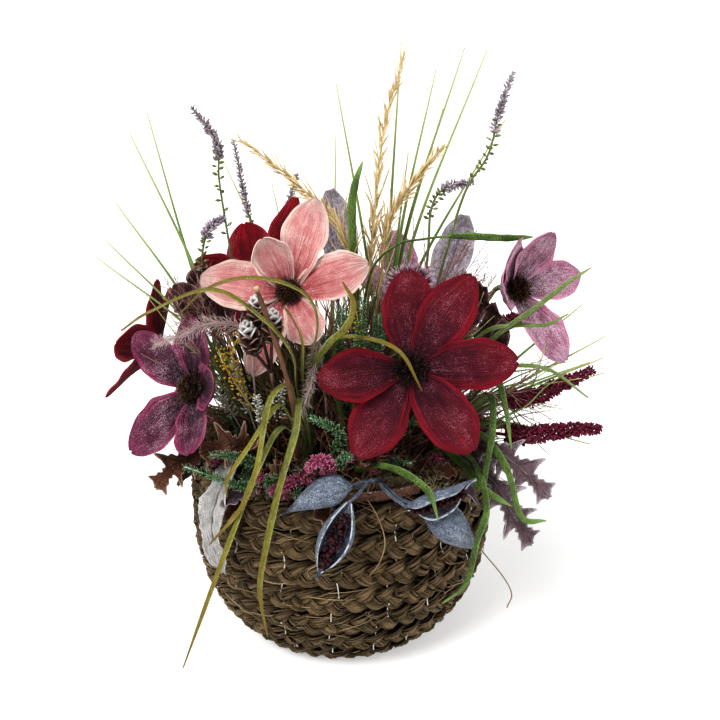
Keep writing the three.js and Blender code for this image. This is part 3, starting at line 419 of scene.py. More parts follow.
def frost_dust(tree, given):
    """Powdery flecks: fine noise on Object coordinates, thicker in soft clouds and a little along
    the grain, + Edge * |across| ** 3, over a limit that "Amount" lowers."""
    place = node(tree, "TexCoord")["Object"]
    flecks = noise(tree, place, given["Scale"], 2, 0.7)
    clouds = noise(tree, place, math(tree, "MULTIPLY", given["Scale"], 0.06), 3)
    drawn = drawn_noise(tree, given["Grain"], (20, 4, 30))
    across = node(tree, "SeparateXYZ", {0: given["Grain"]})[0]
    edge = math(tree, "POWER", math(tree, "ABSOLUTE", across), 3)
    thick = total(tree, flecks, (clouds, 0.36), (drawn, 0.24), (edge, given["Edge"]))
    low = math(tree, "SUBTRACT", 1.02, given["Amount"])
    return between(tree, thick, low, math(tree, "ADD", low, 0.16))


streaks = effect("fibre_streaks", ("Grain", "Lines", "Stretch"), streak_lines)
blotches = effect("soft_blotches", ("Scale",), blotch_clouds)
frost = effect("powder_frost", ("Grain", "Scale", "Edge", "Amount"), frost_dust)


def finish(name, dark, light, lines=8, stretch=20, patches=60, rough=0.75, relief=0.4,
           depth=0.0004, dust=None, dust_colour=(0.8, 0.78, 0.75), dust_edge=0.2, dust_scale=900,
           tip=None, tip_from=0.6, heart=None, heart_to=0.4, rim=None, rim_from=0.7, ragged=0.14,
           tone_share=0.35, sheen=0.0):
    """A dry plant's finish. The shade goes from dark to light with streaks along the grain, patches
    and the item's own tone; a heart colour fades out and a tip colour fades in along the length, a
    rim colour lies along the sides and the end, and powder lies on top. Streaks and patches also
    raise the surface and turn it rough."""
    made, tree, shader = new_material(name)
    grain = node(tree, "Attribute", attribute_name="grain")["Vector"]
    across, along, tone = node(tree, "SeparateXYZ", {0: grain})
    lined = node(tree, "Group", node_tree=streaks, inputs={
        "Grain": grain, "Lines": lines, "Stretch": stretch})[0]
    cloudy = node(tree, "Group", node_tree=blotches, inputs={"Scale": patches})[0]
    # The tone is the item's own tone; on the braid it also holds painted shade where the strands
    # dip.
    shade = total(tree, 0.0, (lined, 0.62 - tone_share / 2), (cloudy, 0.38 - tone_share / 2),
                  (tone, tone_share), clamp=True)
    colour = mixed(tree, shade, dark, light)
    stray = total(tree, -0.5 * ragged, (lined, ragged))
    if heart:
        colour = mixed(tree, math(tree, "SUBTRACT", along, stray), colour, heart,
                       span={"From Max": heart_to, "To Min": 1.0, "To Max": 0.0})
    # On petals, leaves and pods the rim colour is their own edge colour; on the blades, whose
    # across runs round the section, it lies on one side only and is a painted highlight.
    if rim:
        side, end = math(tree, "ABSOLUTE", across), math(tree, "POWER", along, 2.0)
        edge = math(tree, "SUBTRACT", math(tree, "MAXIMUM", side, end), stray)
        colour = mixed(tree, edge, colour, rim, span={"From Min": rim_from}, ease="SMOOTHSTEP")
    if tip:
        colour = mixed(tree, along, colour, tip, span={"From Min": tip_from})
    roughness = total(tree, rough - 0.12, (cloudy, 0.2))
    if dust is not None:
        powder = node(tree, "Group", node_tree=frost, inputs={
            "Grain": grain, "Scale": dust_scale, "Edge": dust_edge, "Amount": dust})[0]
        colour = mixed(tree, math(tree, "MULTIPLY", powder, 0.8), colour, dust_colour)
        roughness = total(tree, roughness, (powder, 0.15), clamp=True)
    bump = node(tree, "Bump", {"Strength": relief, "Distance": depth,
                               "Height": total(tree, lined, (cloudy, 0.4))})[0]
    plug(tree, shader, {"Base Color": colour, "Roughness": roughness, "Normal": bump,
                        "Specular IOR Level": GLOSS, "Sheen Weight": sheen, "Sheen Roughness": 0.5})
    return made


seagrass = finish("seagrass_braid", (0.020, 0.010, 0.004), (0.47, 0.335, 0.185), lines=13,
    stretch=90, patches=55, rough=0.62, relief=1.0, depth=0.001, tone_share=0.5)
# The lining's near-black finish is painted shade of the basket's inside, seen through the braid.
painted_shade_lining = finish("painted_shade_lining", (0.012, 0.008, 0.004), (0.06, 0.04, 0.022), lines=60,
    stretch=30, patches=90, rough=0.9)
thread = finish("white_thread", (0.5, 0.48, 0.44), (0.85, 0.83, 0.79), lines=6, stretch=30,
    patches=300)
fibre_straw = finish("loose_straw", (0.13, 0.09, 0.045), (0.50, 0.39, 0.235), lines=3, stretch=6,
    patches=50)
rows = basket_rows()
for name, part in (("low", rows[:3]), ("middle", rows[3:5]), ("high", rows[5:BRAID_ROWS])):
    make_piece("basket_wall_" + name, joined(*part), seagrass, "seagrass", "basket")
make_piece("basket_bottom", joined(*rows[BRAID_ROWS:]), seagrass, "seagrass")
make_piece("basket_lining", lining(), painted_shade_lining, "seagrass")
make_piece("basket_stitches", stitch_rows(), thread, "seagrass")
tendrils = [sweep(line_through(points, 40)[None], (1, 1, 1), 0.5 * ring_outline(5))
            for points in TENDRILS]
make_piece("basket_loose_fibres", joined(loose_fibres(), *tendrils), fibre_straw, "seagrass")


# ---- Foam, hay and moss -------------------------------------------------------------------------
# A block of dry green foam fills the basket and stands above its rim as a dome. Dry roots, hay
# and curly grey-green moss are pressed over it and tucked between it and the braid.
FOAM_RADIUS = 92
FOAM_TOP = 178
FOAM_EDGE = 141
BARK_MIDDLE = -86           # where the bark strip lies on the rim, in degrees
BARK_REACH = 27
DOME_SIDES = 80


def foam_height(x, y):
    """The dome's height: its top less (top - edge) * the distance from the axis squared."""
    return FOAM_TOP - (FOAM_TOP - FOAM_EDGE) * (x ** 2 + y ** 2) / FOAM_RADIUS ** 2


def caps(sides, count):
    """The faces that close a turned form over the first and the last point of its profile."""
    starts = np.arange(sides)[None] * count
    return [starts[:, ::-1], starts + count - 1]


def dome():
    """The foam over polar rings: the dome down to its edge, a little lumpy, and the side below."""
    share = np.concatenate([np.linspace(0.001, 1, 22), np.ones(5), [0.8, 0.001]])
    drop = np.concatenate([np.zeros(22), np.linspace(6, 80, 5), [104, 104]])
    turn = np.linspace(0, TURN, DOME_SIDES, endpoint=False)[:, None]
    x, y = FOAM_RADIUS * share * np.cos(turn), FOAM_RADIUS * share * np.sin(turn)
    lumps = 0.8 * np.sin(x / 5 + 3) * np.sin(y / 6) * (share < 1)
    points = np.stack([x, y, foam_height(x, y) - drop + lumps], -1).reshape(-1, 3)
    faces = [grid_faces(DOME_SIDES, len(share), True)] + caps(DOME_SIDES, len(share))
    return points, faces, grain_of(x.shape, x / 90, y / 90, 0)


def curls(count, seed, rings, length, curl, thick, lift, steps=8):
    """Curly fibres that lie on the dome and the collar. A fibre starts at a random place, and its
    heading turns evenly by "curl" turns and sways, so it winds; it floats over the ground by
    lift * (0.3 + sin(pi * share)), and the ground is the dome, then the collar, then the rim."""
    draw = draws(seed, count, 1)
    share = np.linspace(0, 1, steps)
    spin = draw(0, TURN)
    wide = np.sqrt(draw(rings[0] ** 2, rings[1] ** 2))
    long = draw(0.4, 1.2) * length
    heading = draw(0, TURN) + share * draw(-curl, curl) * TURN \
        + 0.7 * np.sin(share * 9 + draw(0, TURN))
    x = wide * np.cos(spin) + np.cumsum(np.cos(heading), 1) * long / steps
    y = wide * np.sin(spin) + np.cumsum(np.sin(heading), 1) * long / steps
    far, way = np.hypot(x, y), np.arctan2(y, x)
    under_bark = np.abs(np.degrees(way) - BARK_MIDDLE) < BARK_REACH + 2
    held = np.minimum(far, np.where(under_bark, 103, 116))
    x, y = x * held / far, y * held / far
    collar = 153 + 4 * np.sin(4 * way) + 2 * np.sin(9 * way + 1)
    inside = np.maximum(foam_height(x, y), collar - (FOAM_RADIUS - held) * 0.5)
    ground = np.where(held < FOAM_RADIUS, inside, collar - np.maximum(held - 106, 0) * 0.35)
    rise = draw(0.1, 1) * lift * (0.3 + np.sin(np.pi * share)) \
        + lift * 0.35 * np.sin(share * 14 + draw(0, TURN))
    swell = (thick * draw(0.5, 1.3) * (1 - 0.5 * share ** 2))[..., None, None]
    lines = np.stack([x, y, ground + rise], -1)
    return sweep(lines, (0.05, 0.03, 1.0), swell * ring_outline(3), draw(0, 1))


foam = finish("floral_foam", (0.05, 0.045, 0.022), (0.16, 0.14, 0.07), lines=30, stretch=30,
    patches=400, rough=0.95)
hay = finish("brown_hay", (0.05, 0.024, 0.012), (0.32, 0.21, 0.11), lines=3, stretch=8, patches=40,
    tone_share=0.6)
moss = finish("curly_moss", (0.095, 0.085, 0.05), (0.40, 0.38, 0.26), lines=3, stretch=8,
    patches=35, rough=0.9, tone_share=0.5)
make_piece("foam_dome", dome(), foam, "foam", "foam_block")
make_piece("hay_tangle", joined(curls(1500, 11, (0, 108), 46, 0.5, 0.55, 9), curls(1300, 12,
    (70, 116), 34, 0.9, 0.5, 6)), hay, "moss")
make_piece("moss_curls", curls(2600, 13, (86, 114), 26, 1.6, 0.5, 7, steps=10), moss, "moss",
    "moss_collar")


# ---- Blooms -------------------------------------------------------------------------------------
# Seven big fabric blooms. Each has five or six petals of stiffened cloth with pressed veins and a
# frosted face, an eye of short bristles, a cup that holds them, and a wire stem in the foam. A
# foot is given as x, y and the radius of the tight bunch of stems that goes into the foam.
FOOT_DEPTH = 22
FOOT_OUT = 7
CALYX_DEPTH = 7
BLOOM_FOOT = 3.6
STEM_FOOT = 2.4
GOLDEN_TURN = 2.39996       # 137.5 degrees, which spreads small bodies evenly round a stem
SIDEWAYS = (0.31, 0.91, 0.27)   # a direction that no stem follows
TURNED_SIDES = 20
EYE_HAIRS = 420
DOME_PROFILE = [(0, 0), (0.55, 0), (0.66, 0.2), (0.58, 0.42), (0.36, 0.58), (0, 0.64)]


def foot_end(at, reach):
    """A point on a foot's axis: the foam's surface at x, y plus reach along the foot's lean,
    which points away from a spot 20 mm up the basket's axis."""
    surface = np.array([at[0], at[1], foam_height(at[0], at[1])])
    return surface + reach * unit(surface - (0, 0, 20))


def root(at, target):
    """Where a stem that heads for target starts: the foot's top, moved aside by half the foot's
    radius less 1.1 mm."""
    top = foot_end(at, FOOT_OUT - 2)
    lean = unit(foot_end(at, 1) - foot_end(at, 0))
    aside = np.asarray(target, float) - top
    aside = unit(aside - lean * (aside @ lean))
    return top + aside * max(at[2] * 0.5 - 1.1, 0)


def rod(points, thick, thin, sides=8, steps=24, tone=0.5, flat=1.0, knots=0.0):
    """A stem: an oval outline carried along the line through the points, from thick to thin, with
    a slow swelling of "knots" times its radius."""
    line = line_through(points, steps)[None]
    share = np.linspace(0, 1, steps)
    size = (thick + (thin - thick) * share) * (
        1 + knots * np.sin(share * 23 + tone * 9) * np.sin(share * 57))
    return sweep(line, np.cross(line[0, -1] - line[0, 0], SIDEWAYS),
                 size[:, None, None] * ring_outline(sides) * (1, flat), tone)


def peg(at):
    """A foot: the tight end of a bunch of stems, 22 mm in the foam and 7 mm out of it."""
    path = [foot_end(at, reach) for reach in (-FOOT_DEPTH, -8, FOOT_OUT)]
    return rod(path, at[2], at[2] * 0.8, sides=12, steps=6)


def plates(grids, thickness, tone):
    """Closed sheets over grids of points (n, rows, columns, 3): each point is moved by half the
    thickness to both sides along the surface's normal, half as far at the sheet's edges, and the
    rim joins the two faces."""
    n, rows, columns = grids.shape[:3]
    normal = unit(np.cross(np.gradient(grids, axis=2), np.gradient(grids, axis=1)))
    slim = np.full((rows, columns, 1), 0.5)
    slim[1:-1, 1:-1] = 1
    half = normal * slim * thickness / 2
    points = np.stack([grids + half, grids - half], 1).reshape(-1, 3)
    spot = np.arange(rows * columns).reshape(rows, columns)
    rim = np.concatenate([spot[0, :-1], spot[:-1, -1], spot[-1, :0:-1], spot[:0:-1, 0]])
    quad, after, below = grid_faces(rows, columns), np.roll(rim, -1), rows * columns
    side = np.stack([rim, rim + below, after + below, after], -1)
    one = np.concatenate([quad, quad[:, ::-1] + below, side])
    return points, [(np.arange(n)[:, None, None] * 2 * below + one).reshape(-1, 4)], grain_of(
        (n, 2, rows, columns), np.linspace(-1, 1, columns), np.linspace(0, 1, rows)[:, None],
        np.reshape(tone, (-1, 1, 1, 1)))


def turned(profile, centre, frame_of):
    """A closed round form: a profile of (radius, height) turned about the frame's third axis."""
    profile = np.array(profile, float)
    profile[[0, -1], 0] = 0.01
    a = np.linspace(0, TURN, TURNED_SIDES, endpoint=False)[:, None]
    points = centre + polar(profile[:, 0], a, profile[:, 1]) @ frame_of
    shape = points.shape[:2]
    faces = [grid_faces(*shape, True)[:, [0, 3, 2, 1]]] + caps(*shape)
    grain = grain_of(shape, a / np.pi - 1, np.linspace(0, 1, shape[1]), 0.5)
    return points.reshape(-1, 3), faces, grain


def spindles(starts, ways, lengths, radii, seed, sides=4, steps=5, plump=0.8, bend=0.15, blunt=0.08,
             flat=1.0):
    """Many small pointed bodies: from its start each runs its length along its way and bends
    aside by bend * length * share ** 2; its radius is radius * sin(pi * (blunt + (0.94 - blunt) *
    share)) ** plump."""
    chance = np.random.default_rng(seed)
    n = len(starts)
    ways = unit(ways)
    aside = unit(np.cross(ways, chance.normal(size=(n, 3)) + (0.01, 0, 0)))
    share = np.linspace(0, 1, steps)[:, None]
    lines = starts[:, None] + np.reshape(lengths, (-1, 1, 1)) * (
        ways[:, None] * share + bend * aside[:, None] * share ** 2)
    swell = np.reshape(radii, (-1, 1, 1, 1)) * np.sin(
        np.pi * (blunt + (0.94 - blunt) * share[..., None])) ** plump
    return sweep(lines, np.cross(ways, aside)[:, None], swell * ring_outline(sides) * (1, flat),
                 chance.uniform(0, 1, n))


def petal(frame_of, centre, spec, root_radius, layer, seed):
    """A petal's grid. Its midrib leaves the eye at the angle "lift" over the bloom's face and
    bends evenly to "tip lift"; with v along and u across it is half_width * sin(pi * (0.035 +
    0.955 * v ** 1.25)) ** 0.62 wide, its sides are cupped by u squared, its rim waves and rolls
    up, and a crease and fine veins run down it."""
    angle, length, half_width, lift, tip_lift, cup = spec
    right, up, face = frame_of
    turn, first = np.radians(angle), np.radians(lift)
    bend = np.radians(tip_lift) - first or 1e-3
    chance = np.random.default_rng(seed)
    u = np.linspace(-1, 1, 33)[None, :]
    v = np.linspace(0, 1, 45)[:, None]
    belly = np.sin(np.pi * v)

    def ripple(waves, aside=0):
        return np.sin(waves * v + chance.uniform(0, 6) + aside)

    slope = first + bend * v
    out = root_radius + length * (np.sin(slope) - np.sin(first)) / bend
    height = length * (np.cos(first) - np.cos(slope)) / bend - layer
    width = 0.93 * half_width * np.sin(np.pi * (0.035 + 0.955 * v ** 1.25)) ** 0.62
    width = width * (1 + 0.035 * ripple(9) + 0.02 * ripple(23))
    notch = 0.03 * length * np.exp(-(u / 0.35) ** 2) * v ** 8 * chance.uniform(0.2, 1)
    wave = np.abs(u) ** 3 * belly * (1.3 * ripple(7, 2 * np.sign(u)) + 0.7 * ripple(17))
    veins = np.cos(u * 15 + 1.4 * np.sin(3 * v + seed))
    crease = -0.7 * np.exp(-(u / 0.07) ** 2) * belly \
        + 0.5 * veins * belly ** 0.7 * (1 - np.abs(u) ** 4) \
        + 0.9 * np.sin(2.6 * u + 3.1 * v + seed) * belly
    roll = 1.5 * np.abs(u) ** 9 * np.sin(np.pi * v ** 0.8) + 1.2 * v ** 14
    raised = cup * width * u ** 2 + wave + crease + roll
    away = right * np.cos(turn) + up * np.sin(turn)
    side = up * np.cos(turn) - right * np.sin(turn)
    return centre + away * (out - notch - raised * np.sin(slope))[..., None] \
        + side * (width * u)[..., None] + face * (height + raised * np.cos(slope))[..., None]


def bloom(name, centre, face, at, eye, cloth, bristle, petals):
    """A bloom: petals on a cup, an eye of bristles on a low dome, and a stem with its cup. cloth
    and bristle are a finish and its slot; a petal is its angle, length, half width, lift, tip
    lift and cup."""
    face, centre = unit(np.array(face, float)), np.array(centre, float)
    right = unit(np.cross((0, 0, 1), face))
    frame_of = np.array([right, np.cross(face, right), face])
    seed = int(abs(centre.sum() * 7)) + 100
    sheets = np.stack([petal(frame_of, centre, spec, eye * 0.5, (i + 1) % 2 * 1.5, seed + i)
                       for i, spec in enumerate(petals)])
    tones = np.random.default_rng(seed).uniform(0.2, 0.8, len(petals))
    make_piece(name + "_petals", plates(sheets, 0.9, tones), *cloth, name + "_petals")

    draw = draws(seed + 50, EYE_HAIRS)
    wide = np.sqrt(np.linspace(0, 1, EYE_HAIRS))
    around = np.arange(EYE_HAIRS) * GOLDEN_TURN
    level = 1.5 + eye * (0.12 + 0.46 * np.sqrt(1 - 0.92 * wide ** 2))
    ways = polar(wide * 1.5 + draw(-0.3, 0.3), around, 1.15 - 0.75 * wide)
    hairs = spindles(centre + polar(wide * 0.6 * eye, around, level) @ frame_of, ways @ frame_of,
                     eye * draw(0.34, 0.72), eye * draw(0.026, 0.045), seed + 51, plump=0.45,
                     bend=0.6, blunt=0.12)
    core = turned(np.array(DOME_PROFILE) * eye + (0, 1.5), centre, frame_of)
    make_piece(name + "_eye", joined(core, hairs), *bristle, name + "_eye")

    cup = turned([(0, -CALYX_DEPTH - 1), (2.4, -CALYX_DEPTH), (3.4, -5), (eye * 0.62, -2),
                  (eye * 0.8, 0.4), (0, 0.8)], centre, frame_of)
    path = [foot_end(at, FOOT_OUT - 2), centre - face * (CALYX_DEPTH + 24),
            centre - face * (CALYX_DEPTH + 0.35)]
    stem = rod(path, 2, 2, sides=10, steps=30, knots=0.12)
    make_piece(name + "_stem", joined(peg(at), stem, cup), green_stem, "stem", name + "_stem")


green_stem = finish("green_stem", (0.05, 0.075, 0.022), (0.21, 0.25, 0.085), lines=4, stretch=40,
    patches=120, dust=0.08)
veined = dict(lines=17, stretch=1.7, patches=90, relief=0.9, depth=0.0012, sheen=0.03,
              tone_share=0.12, dust_scale=1500, ragged=0.6)
tiny = dict(lines=2, stretch=3)
red_cloth = finish("red_petal_cloth", (0.026, 0.001, 0.006), (0.23, 0.006, 0.022), dust=0.17,
    dust_colour=(0.36, 0.18, 0.22), dust_edge=-0.14, heart=(0.040, 0.001, 0.011), heart_to=0.9,
    rim=(0.20, 0.003, 0.016), rim_from=0.6, **veined)
dark_red_cloth = finish("dark_red_petal_cloth", (0.05, 0.001, 0.005), (0.32, 0.009, 0.022),
    dust=0.08, dust_colour=(0.40, 0.14, 0.18), heart=(0.03, 0.001, 0.005), heart_to=0.5,
    rim=(0.36, 0.008, 0.02), rim_from=0.6, **veined)
pink_cloth = finish("pink_petal_cloth", (0.48, 0.12, 0.135), (0.75, 0.455, 0.425), dust=0.15,
    dust_colour=(0.87, 0.75, 0.70), dust_edge=0.05, heart=(0.46, 0.055, 0.07), heart_to=0.5,
    rim=(0.77, 0.58, 0.51), rim_from=0.66, **veined)
purple_cloth = finish("purple_petal_cloth", (0.016, 0.002, 0.008), (0.19, 0.03, 0.085), dust=0.17,
    dust_colour=(0.56, 0.43, 0.49), dust_edge=-0.02, heart=(0.012, 0.002, 0.007), heart_to=0.75,
    rim=(0.27, 0.042, 0.115), rim_from=0.6, **veined)
mauve_cloth = finish("mauve_petal_cloth", (0.13, 0.02, 0.06), (0.50, 0.19, 0.30), dust=0.27,
    dust_colour=(0.70, 0.60, 0.66), dust_edge=-0.02, heart=(0.05, 0.006, 0.022), heart_to=0.5,
    rim=(0.58, 0.20, 0.34), rim_from=0.65, **veined)
black_bristle = finish("black_bristle", (0.003, 0.002, 0.002), (0.022, 0.010, 0.008),
    tip=(0.10, 0.055, 0.045), tip_from=0.85, rough=0.85, **tiny)
brown_bristle = finish("brown_bristle", (0.009, 0.004, 0.003), (0.060, 0.024, 0.014),
    tip=(0.25, 0.155, 0.09), tip_from=0.88, rough=0.85, tone_share=0.6, **tiny)
dark_eye, brown_eye = (black_bristle, "dark_eye"), (brown_bristle, "brown_eye")
red, dark_red = (red_cloth, "red_petal"), (dark_red_cloth, "dark_red_petal")
pink, purple = (pink_cloth, "pink_petal"), (purple_cloth, "purple_petal")
mauve = (mauve_cloth, "mauve_petal")

# The pink bloom's last petal is bent back behind the cones.
for name, centre, face, foot, eye, cloth, bristle, petals in (
        ("red_front", (49, -90, 246), (-0.05, -0.94, 0.34), (30, -46), 10.5, red, dark_eye, [
            (92, 62, 20, 14, 10, 0.1), (57, 71, 19, 22, 4, -0.12), (5, 68, 19, 16, 8, 0.12),
            (-52, 66, 20, 20, 14, 0.1), (-120, 66, 20, 14, 12, 0.12), (-172, 60, 19, 22, 16, 0.1)]),
        ("pink", (-34, -58, 290), (-0.08, -0.86, 0.5), (-20, -30), 8.5, pink, brown_eye, [
            (75, 64, 17, 20, 6, 0.15), (175, 58, 19, 18, 2, -0.1), (18, 56, 18, 16, 12, 0.14),
            (-61, 50, 15, 24, 38, 0.1), (118, 44, 15, 40, 55, 0.12),
            (-116, 61, 14, -12, -26, 0.12)]),
        ("purple_left", (-104, -60, 219), (-0.5, -0.76, 0.38), (-60, -14), 9, purple, brown_eye, [
            (88, 51, 18, 26, 20, 0.15), (150, 56, 17, 24, 16, 0.1), (12, 50, 17, 30, 46, 0.3),
            (-55, 52, 18, 22, 30, 0.16), (-122, 62, 20, 16, 10, 0.1)]),
        ("mauve_right", (131, -5, 276), (0.52, -0.74, 0.4), (62, 0), 9, mauve, brown_eye, [
            (128, 58, 17, 32, 70, 0.2), (70, 52, 15, 40, 60, 0.2), (175, 48, 17, 34, 50, 0.3),
            (2, 54, 16, 20, 10, 0.12), (-68, 62, 19, 16, 4, 0.12)]),
        ("red_back", (-60, 12, 272), (-0.12, -0.8, 0.6), (-34, 14), 9, dark_red, dark_eye, [
            (109, 50, 20, 22, 22, 0.14), (71, 72, 12, 17, 20, 0.1), (170, 54, 16, 38, 38, 0.14),
            (230, 42, 16, 10, 6, 0.12), (300, 38, 14, 20, 20, 0.12)]),
        ("red_side", (-150, 42, 218), (-0.86, 0.1, 0.42), (-66, 20), 9, dark_red, dark_eye, [
            (80, 54, 17, 24, 20, 0.14), (150, 54, 18, 20, 14, 0.14), (10, 54, 18, 24, 24, 0.14),
            (-62, 56, 18, 20, 14, 0.12), (-130, 54, 17, 20, 16, 0.12)]),
        ("mauve_back", (52, 112, 236), (0.28, 0.84, 0.42), (24, 54), 9, mauve, brown_eye, [
            (85, 60, 18, 22, 14, 0.14), (155, 58, 18, 18, 12, 0.12), (18, 58, 18, 24, 20, 0.14),
            (-52, 60, 19, 18, 10, 0.12), (-122, 58, 18, 20, 12, 0.12)])):
    bloom("bloom_" + name, centre, face, (*foot, BLOOM_FOOT), eye, cloth, bristle, petals)


# ---- Strap blades -------------------------------------------------------------------------------
# Long flat blades of soft plastic, moulded with a keel and fine ribs. They rise from bunches in
# the foam, arch over and trail down over the rim, and bend only over their flat side. One lies
# level behind the right blooms, on a round stalk.
def blade(points, half_width, tone):
    """A blade: width = half_width * min(1, 0.5 + 2t) * (1 - t ** 7) + 0.35, 1.3 mm thick at
    its keel and thin at its sides, with ribs along it, and its edges turned up a little. It arches
    in the plane square to the sum of the cross products of each two neighbouring points."""
    line = line_through(points, 12 * len(points))[None]
    t = np.linspace(0, 1, line.shape[1])[None, :, None]
    a = np.linspace(0, TURN, 14, endpoint=False)
    width = half_width * np.minimum(1, 0.5 + 2 * t) * (1 - t ** 7) + 0.35
    width = width * (1 + 0.06 * np.sin(31 * t + tone * 20))
    x = width * np.cos(a)
    y = 0.62 * np.sin(a) * (1 + 0.3 * np.cos(a * 6)) + 0.2 * width * np.cos(a) ** 2 - 0.1 * width
    reach = np.asarray(points[1:], float) - points[0]
    return sweep(line, unit(np.cross(reach[:-1], reach[1:]).sum(0)), np.stack([x, y], -1), tone)


def blade_bunch(name, at, material, slot, seed, *blades):
    """Blades from one foot. Each is its half width and its points after the foot's top."""
    tones = np.random.default_rng(seed).uniform(0, 1, len(blades))
    bodies = [blade([root(at, points[0]), *points], half_width, tone)
              for (half_width, *points), tone in zip(blades, tones)]
    make_piece(name, joined(peg(at), *bodies), material, slot, name)


moulded = dict(lines=7, rough=0.6, relief=0.9, dust_scale=1500)
# The trailing strand's rim colour, on one side of each blade and at its tip, is a painted
# highlight.
strand_plastic = finish("trailing_strand", (0.025, 0.03, 0.006), (0.29, 0.27, 0.04), stretch=40,
    patches=55, tip=(0.17, 0.11, 0.012), tip_from=0.5, heart=(0.11, 0.14, 0.06), heart_to=0.5,
    dust=0.10, dust_colour=(0.46, 0.47, 0.25), rim=(0.31, 0.32, 0.10), rim_from=0.66,
    tone_share=0.12, **moulded)
# The rim colour of both strap finishes, on one side of each blade and at its tip, is partly the
# straps' paler edge and partly a painted highlight.
strap_plastic = finish("green_strap", (0.013, 0.028, 0.006), (0.085, 0.145, 0.028), stretch=50,
    patches=90, dust=0.20, dust_colour=(0.22, 0.31, 0.10), rim=(0.20, 0.31, 0.10), rim_from=0.65,
    **moulded)
light_strap = finish("light_strap", (0.035, 0.06, 0.012), (0.19, 0.25, 0.08), stretch=50,
    patches=90, dust=0.14, dust_colour=(0.36, 0.42, 0.24), rim=(0.27, 0.34, 0.15), rim_from=0.65,
    **moulded)
blade_bunch("blades_front", (-20, -62, 5), strand_plastic, "strand", 1, [1.8, (-30, -88, 222),
    (-33, -104, 240), (-44, -124, 235), (-52, -137, 195), (-64, -135, 164), (-88, -127, 131)],
    [1.5, (-34, -92, 212), (-40, -114, 228), (-58, -131, 206), (-72, -132, 184), (-74, -128, 168)],
    [2.0, (-25, -96, 226), (-27, -130, 216), (-38, -142, 180), (-51, -137, 121), (-54, -131, 92),
    (-51, -123, 54)], [1.8, (-37, -98, 206), (-52, -126, 190), (-70, -132, 145), (-88, -127, 96),
    (-115, -114, 20)], [1.6, (-28, -88, 228), (-29, -112, 264), (-46, -129, 294), (-77, -128, 312),
    (-120, -109, 292), (-142, -99, 276)], [1.4, (-21, -88, 236), (-12, -116, 285), (-20, -128, 310),
    (-48, -133, 321), (-78, -121, 312), (-100, -111, 292)], [2.0, (-24, -88, 234), (-22, -114, 272),
    (-27, -121, 290), (-33, -123, 300)], [2.0, (-18, -88, 238), (-6, -118, 272), (6, -124, 286),
    (11, -119, 300), (4, -113, 313)])
front_at = (8, -62, STEM_FOOT)
arched = [(0, -74, 212), (-2, -88, 262), (16, -114, 276), (40, -124, 270), (55, -126, 244)]
hanging = [(14, -92, 170), (26, -116, 186), (42, -144, 195), (58, -157, 188), (65, -158, 168)]
arched_blade = blade([root(front_at, arched[0]), *arched], 1.8, 0.6)
hanging_blade = blade([root(front_at, hanging[0]), *hanging], 2.3, 0.4)
make_piece("blades_front_right", joined(peg(front_at), arched_blade), strand_plastic, "strand",
    "blades_front_right")
make_piece("blade_front_green", hanging_blade, strap_plastic, "strap", "blades_front_right")
blade_bunch("blades_right", (62, -48, 5), strap_plastic, "strap", 3, [3.0, (88, -60, 196),
    (106, -72, 220), (107, -88, 198), (102, -100, 174), (101, -107, 151)], [3.0, (86, -54, 215),
    (106, -72, 240), (114, -90, 221), (119, -100, 191)], [2.8, (78, -56, 180), (100, -74, 190),
    (117, -96, 174), (128, -104, 140), (148, -94, 131)], [2.8, (74, -62, 172), (86, -86, 174),
    (100, -110, 165), (120, -109, 151)], [2.6, (78, -68, 178), (94, -94, 178), (101, -120, 158),
    (93, -140, 143), (86, -142, 110), (72, -135, 90)])
blade_bunch("blades_high", (40, -22, 4), light_strap, "strap", 4, [1.8, (84, -40, 232),
    (104, -56, 261), (124, -64, 268), (145, -62, 268), (161, -56, 274)], [1.6, (80, -40, 220),
    (113, -62, 262), (134, -66, 280), (158, -56, 296), (176, -50, 306)], [2.0, (86, -44, 226),
    (118, -64, 238), (148, -66, 236), (178, -64, 214)])
blade_bunch("blade_upright", (6, -10, STEM_FOOT), strap_plastic, "strap", 5, [3.0, (12, -8, 250),
    (9, 2, 330), (11, 8, 352), (17, 12, 370)])
level_stalk = [(14, -16, 168), (16, -14, 240), (23, -11, 292), (42, -12, 313), (62, -14, 318),
               (82, -16, 321)]
level_blade = [(79, -15.5, 320.6), (99, -24, 322), (119, -24, 321), (141, -12, 319)]
make_piece("blade_level_green", joined(rod(level_stalk, 1.0, 0.8, steps=40, tone=0.3),
    blade(level_blade, 2.3, 0.25)), strap_plastic, "strap")
blade_bunch("blades_back", (-58, 44, 4), strap_plastic, "strap", 6, [2.6, (-96, 84, 190),
    (-128, 110, 196), (-150, 124, 160), (-158, 126, 118)], [2.4, (-84, 88, 200), (-104, 126, 214),
    (-122, 150, 180), (-128, 158, 130)], [2.2, (-76, 84, 190), (-84, 118, 190), (-92, 132, 150),
    (-90, 136, 96)])


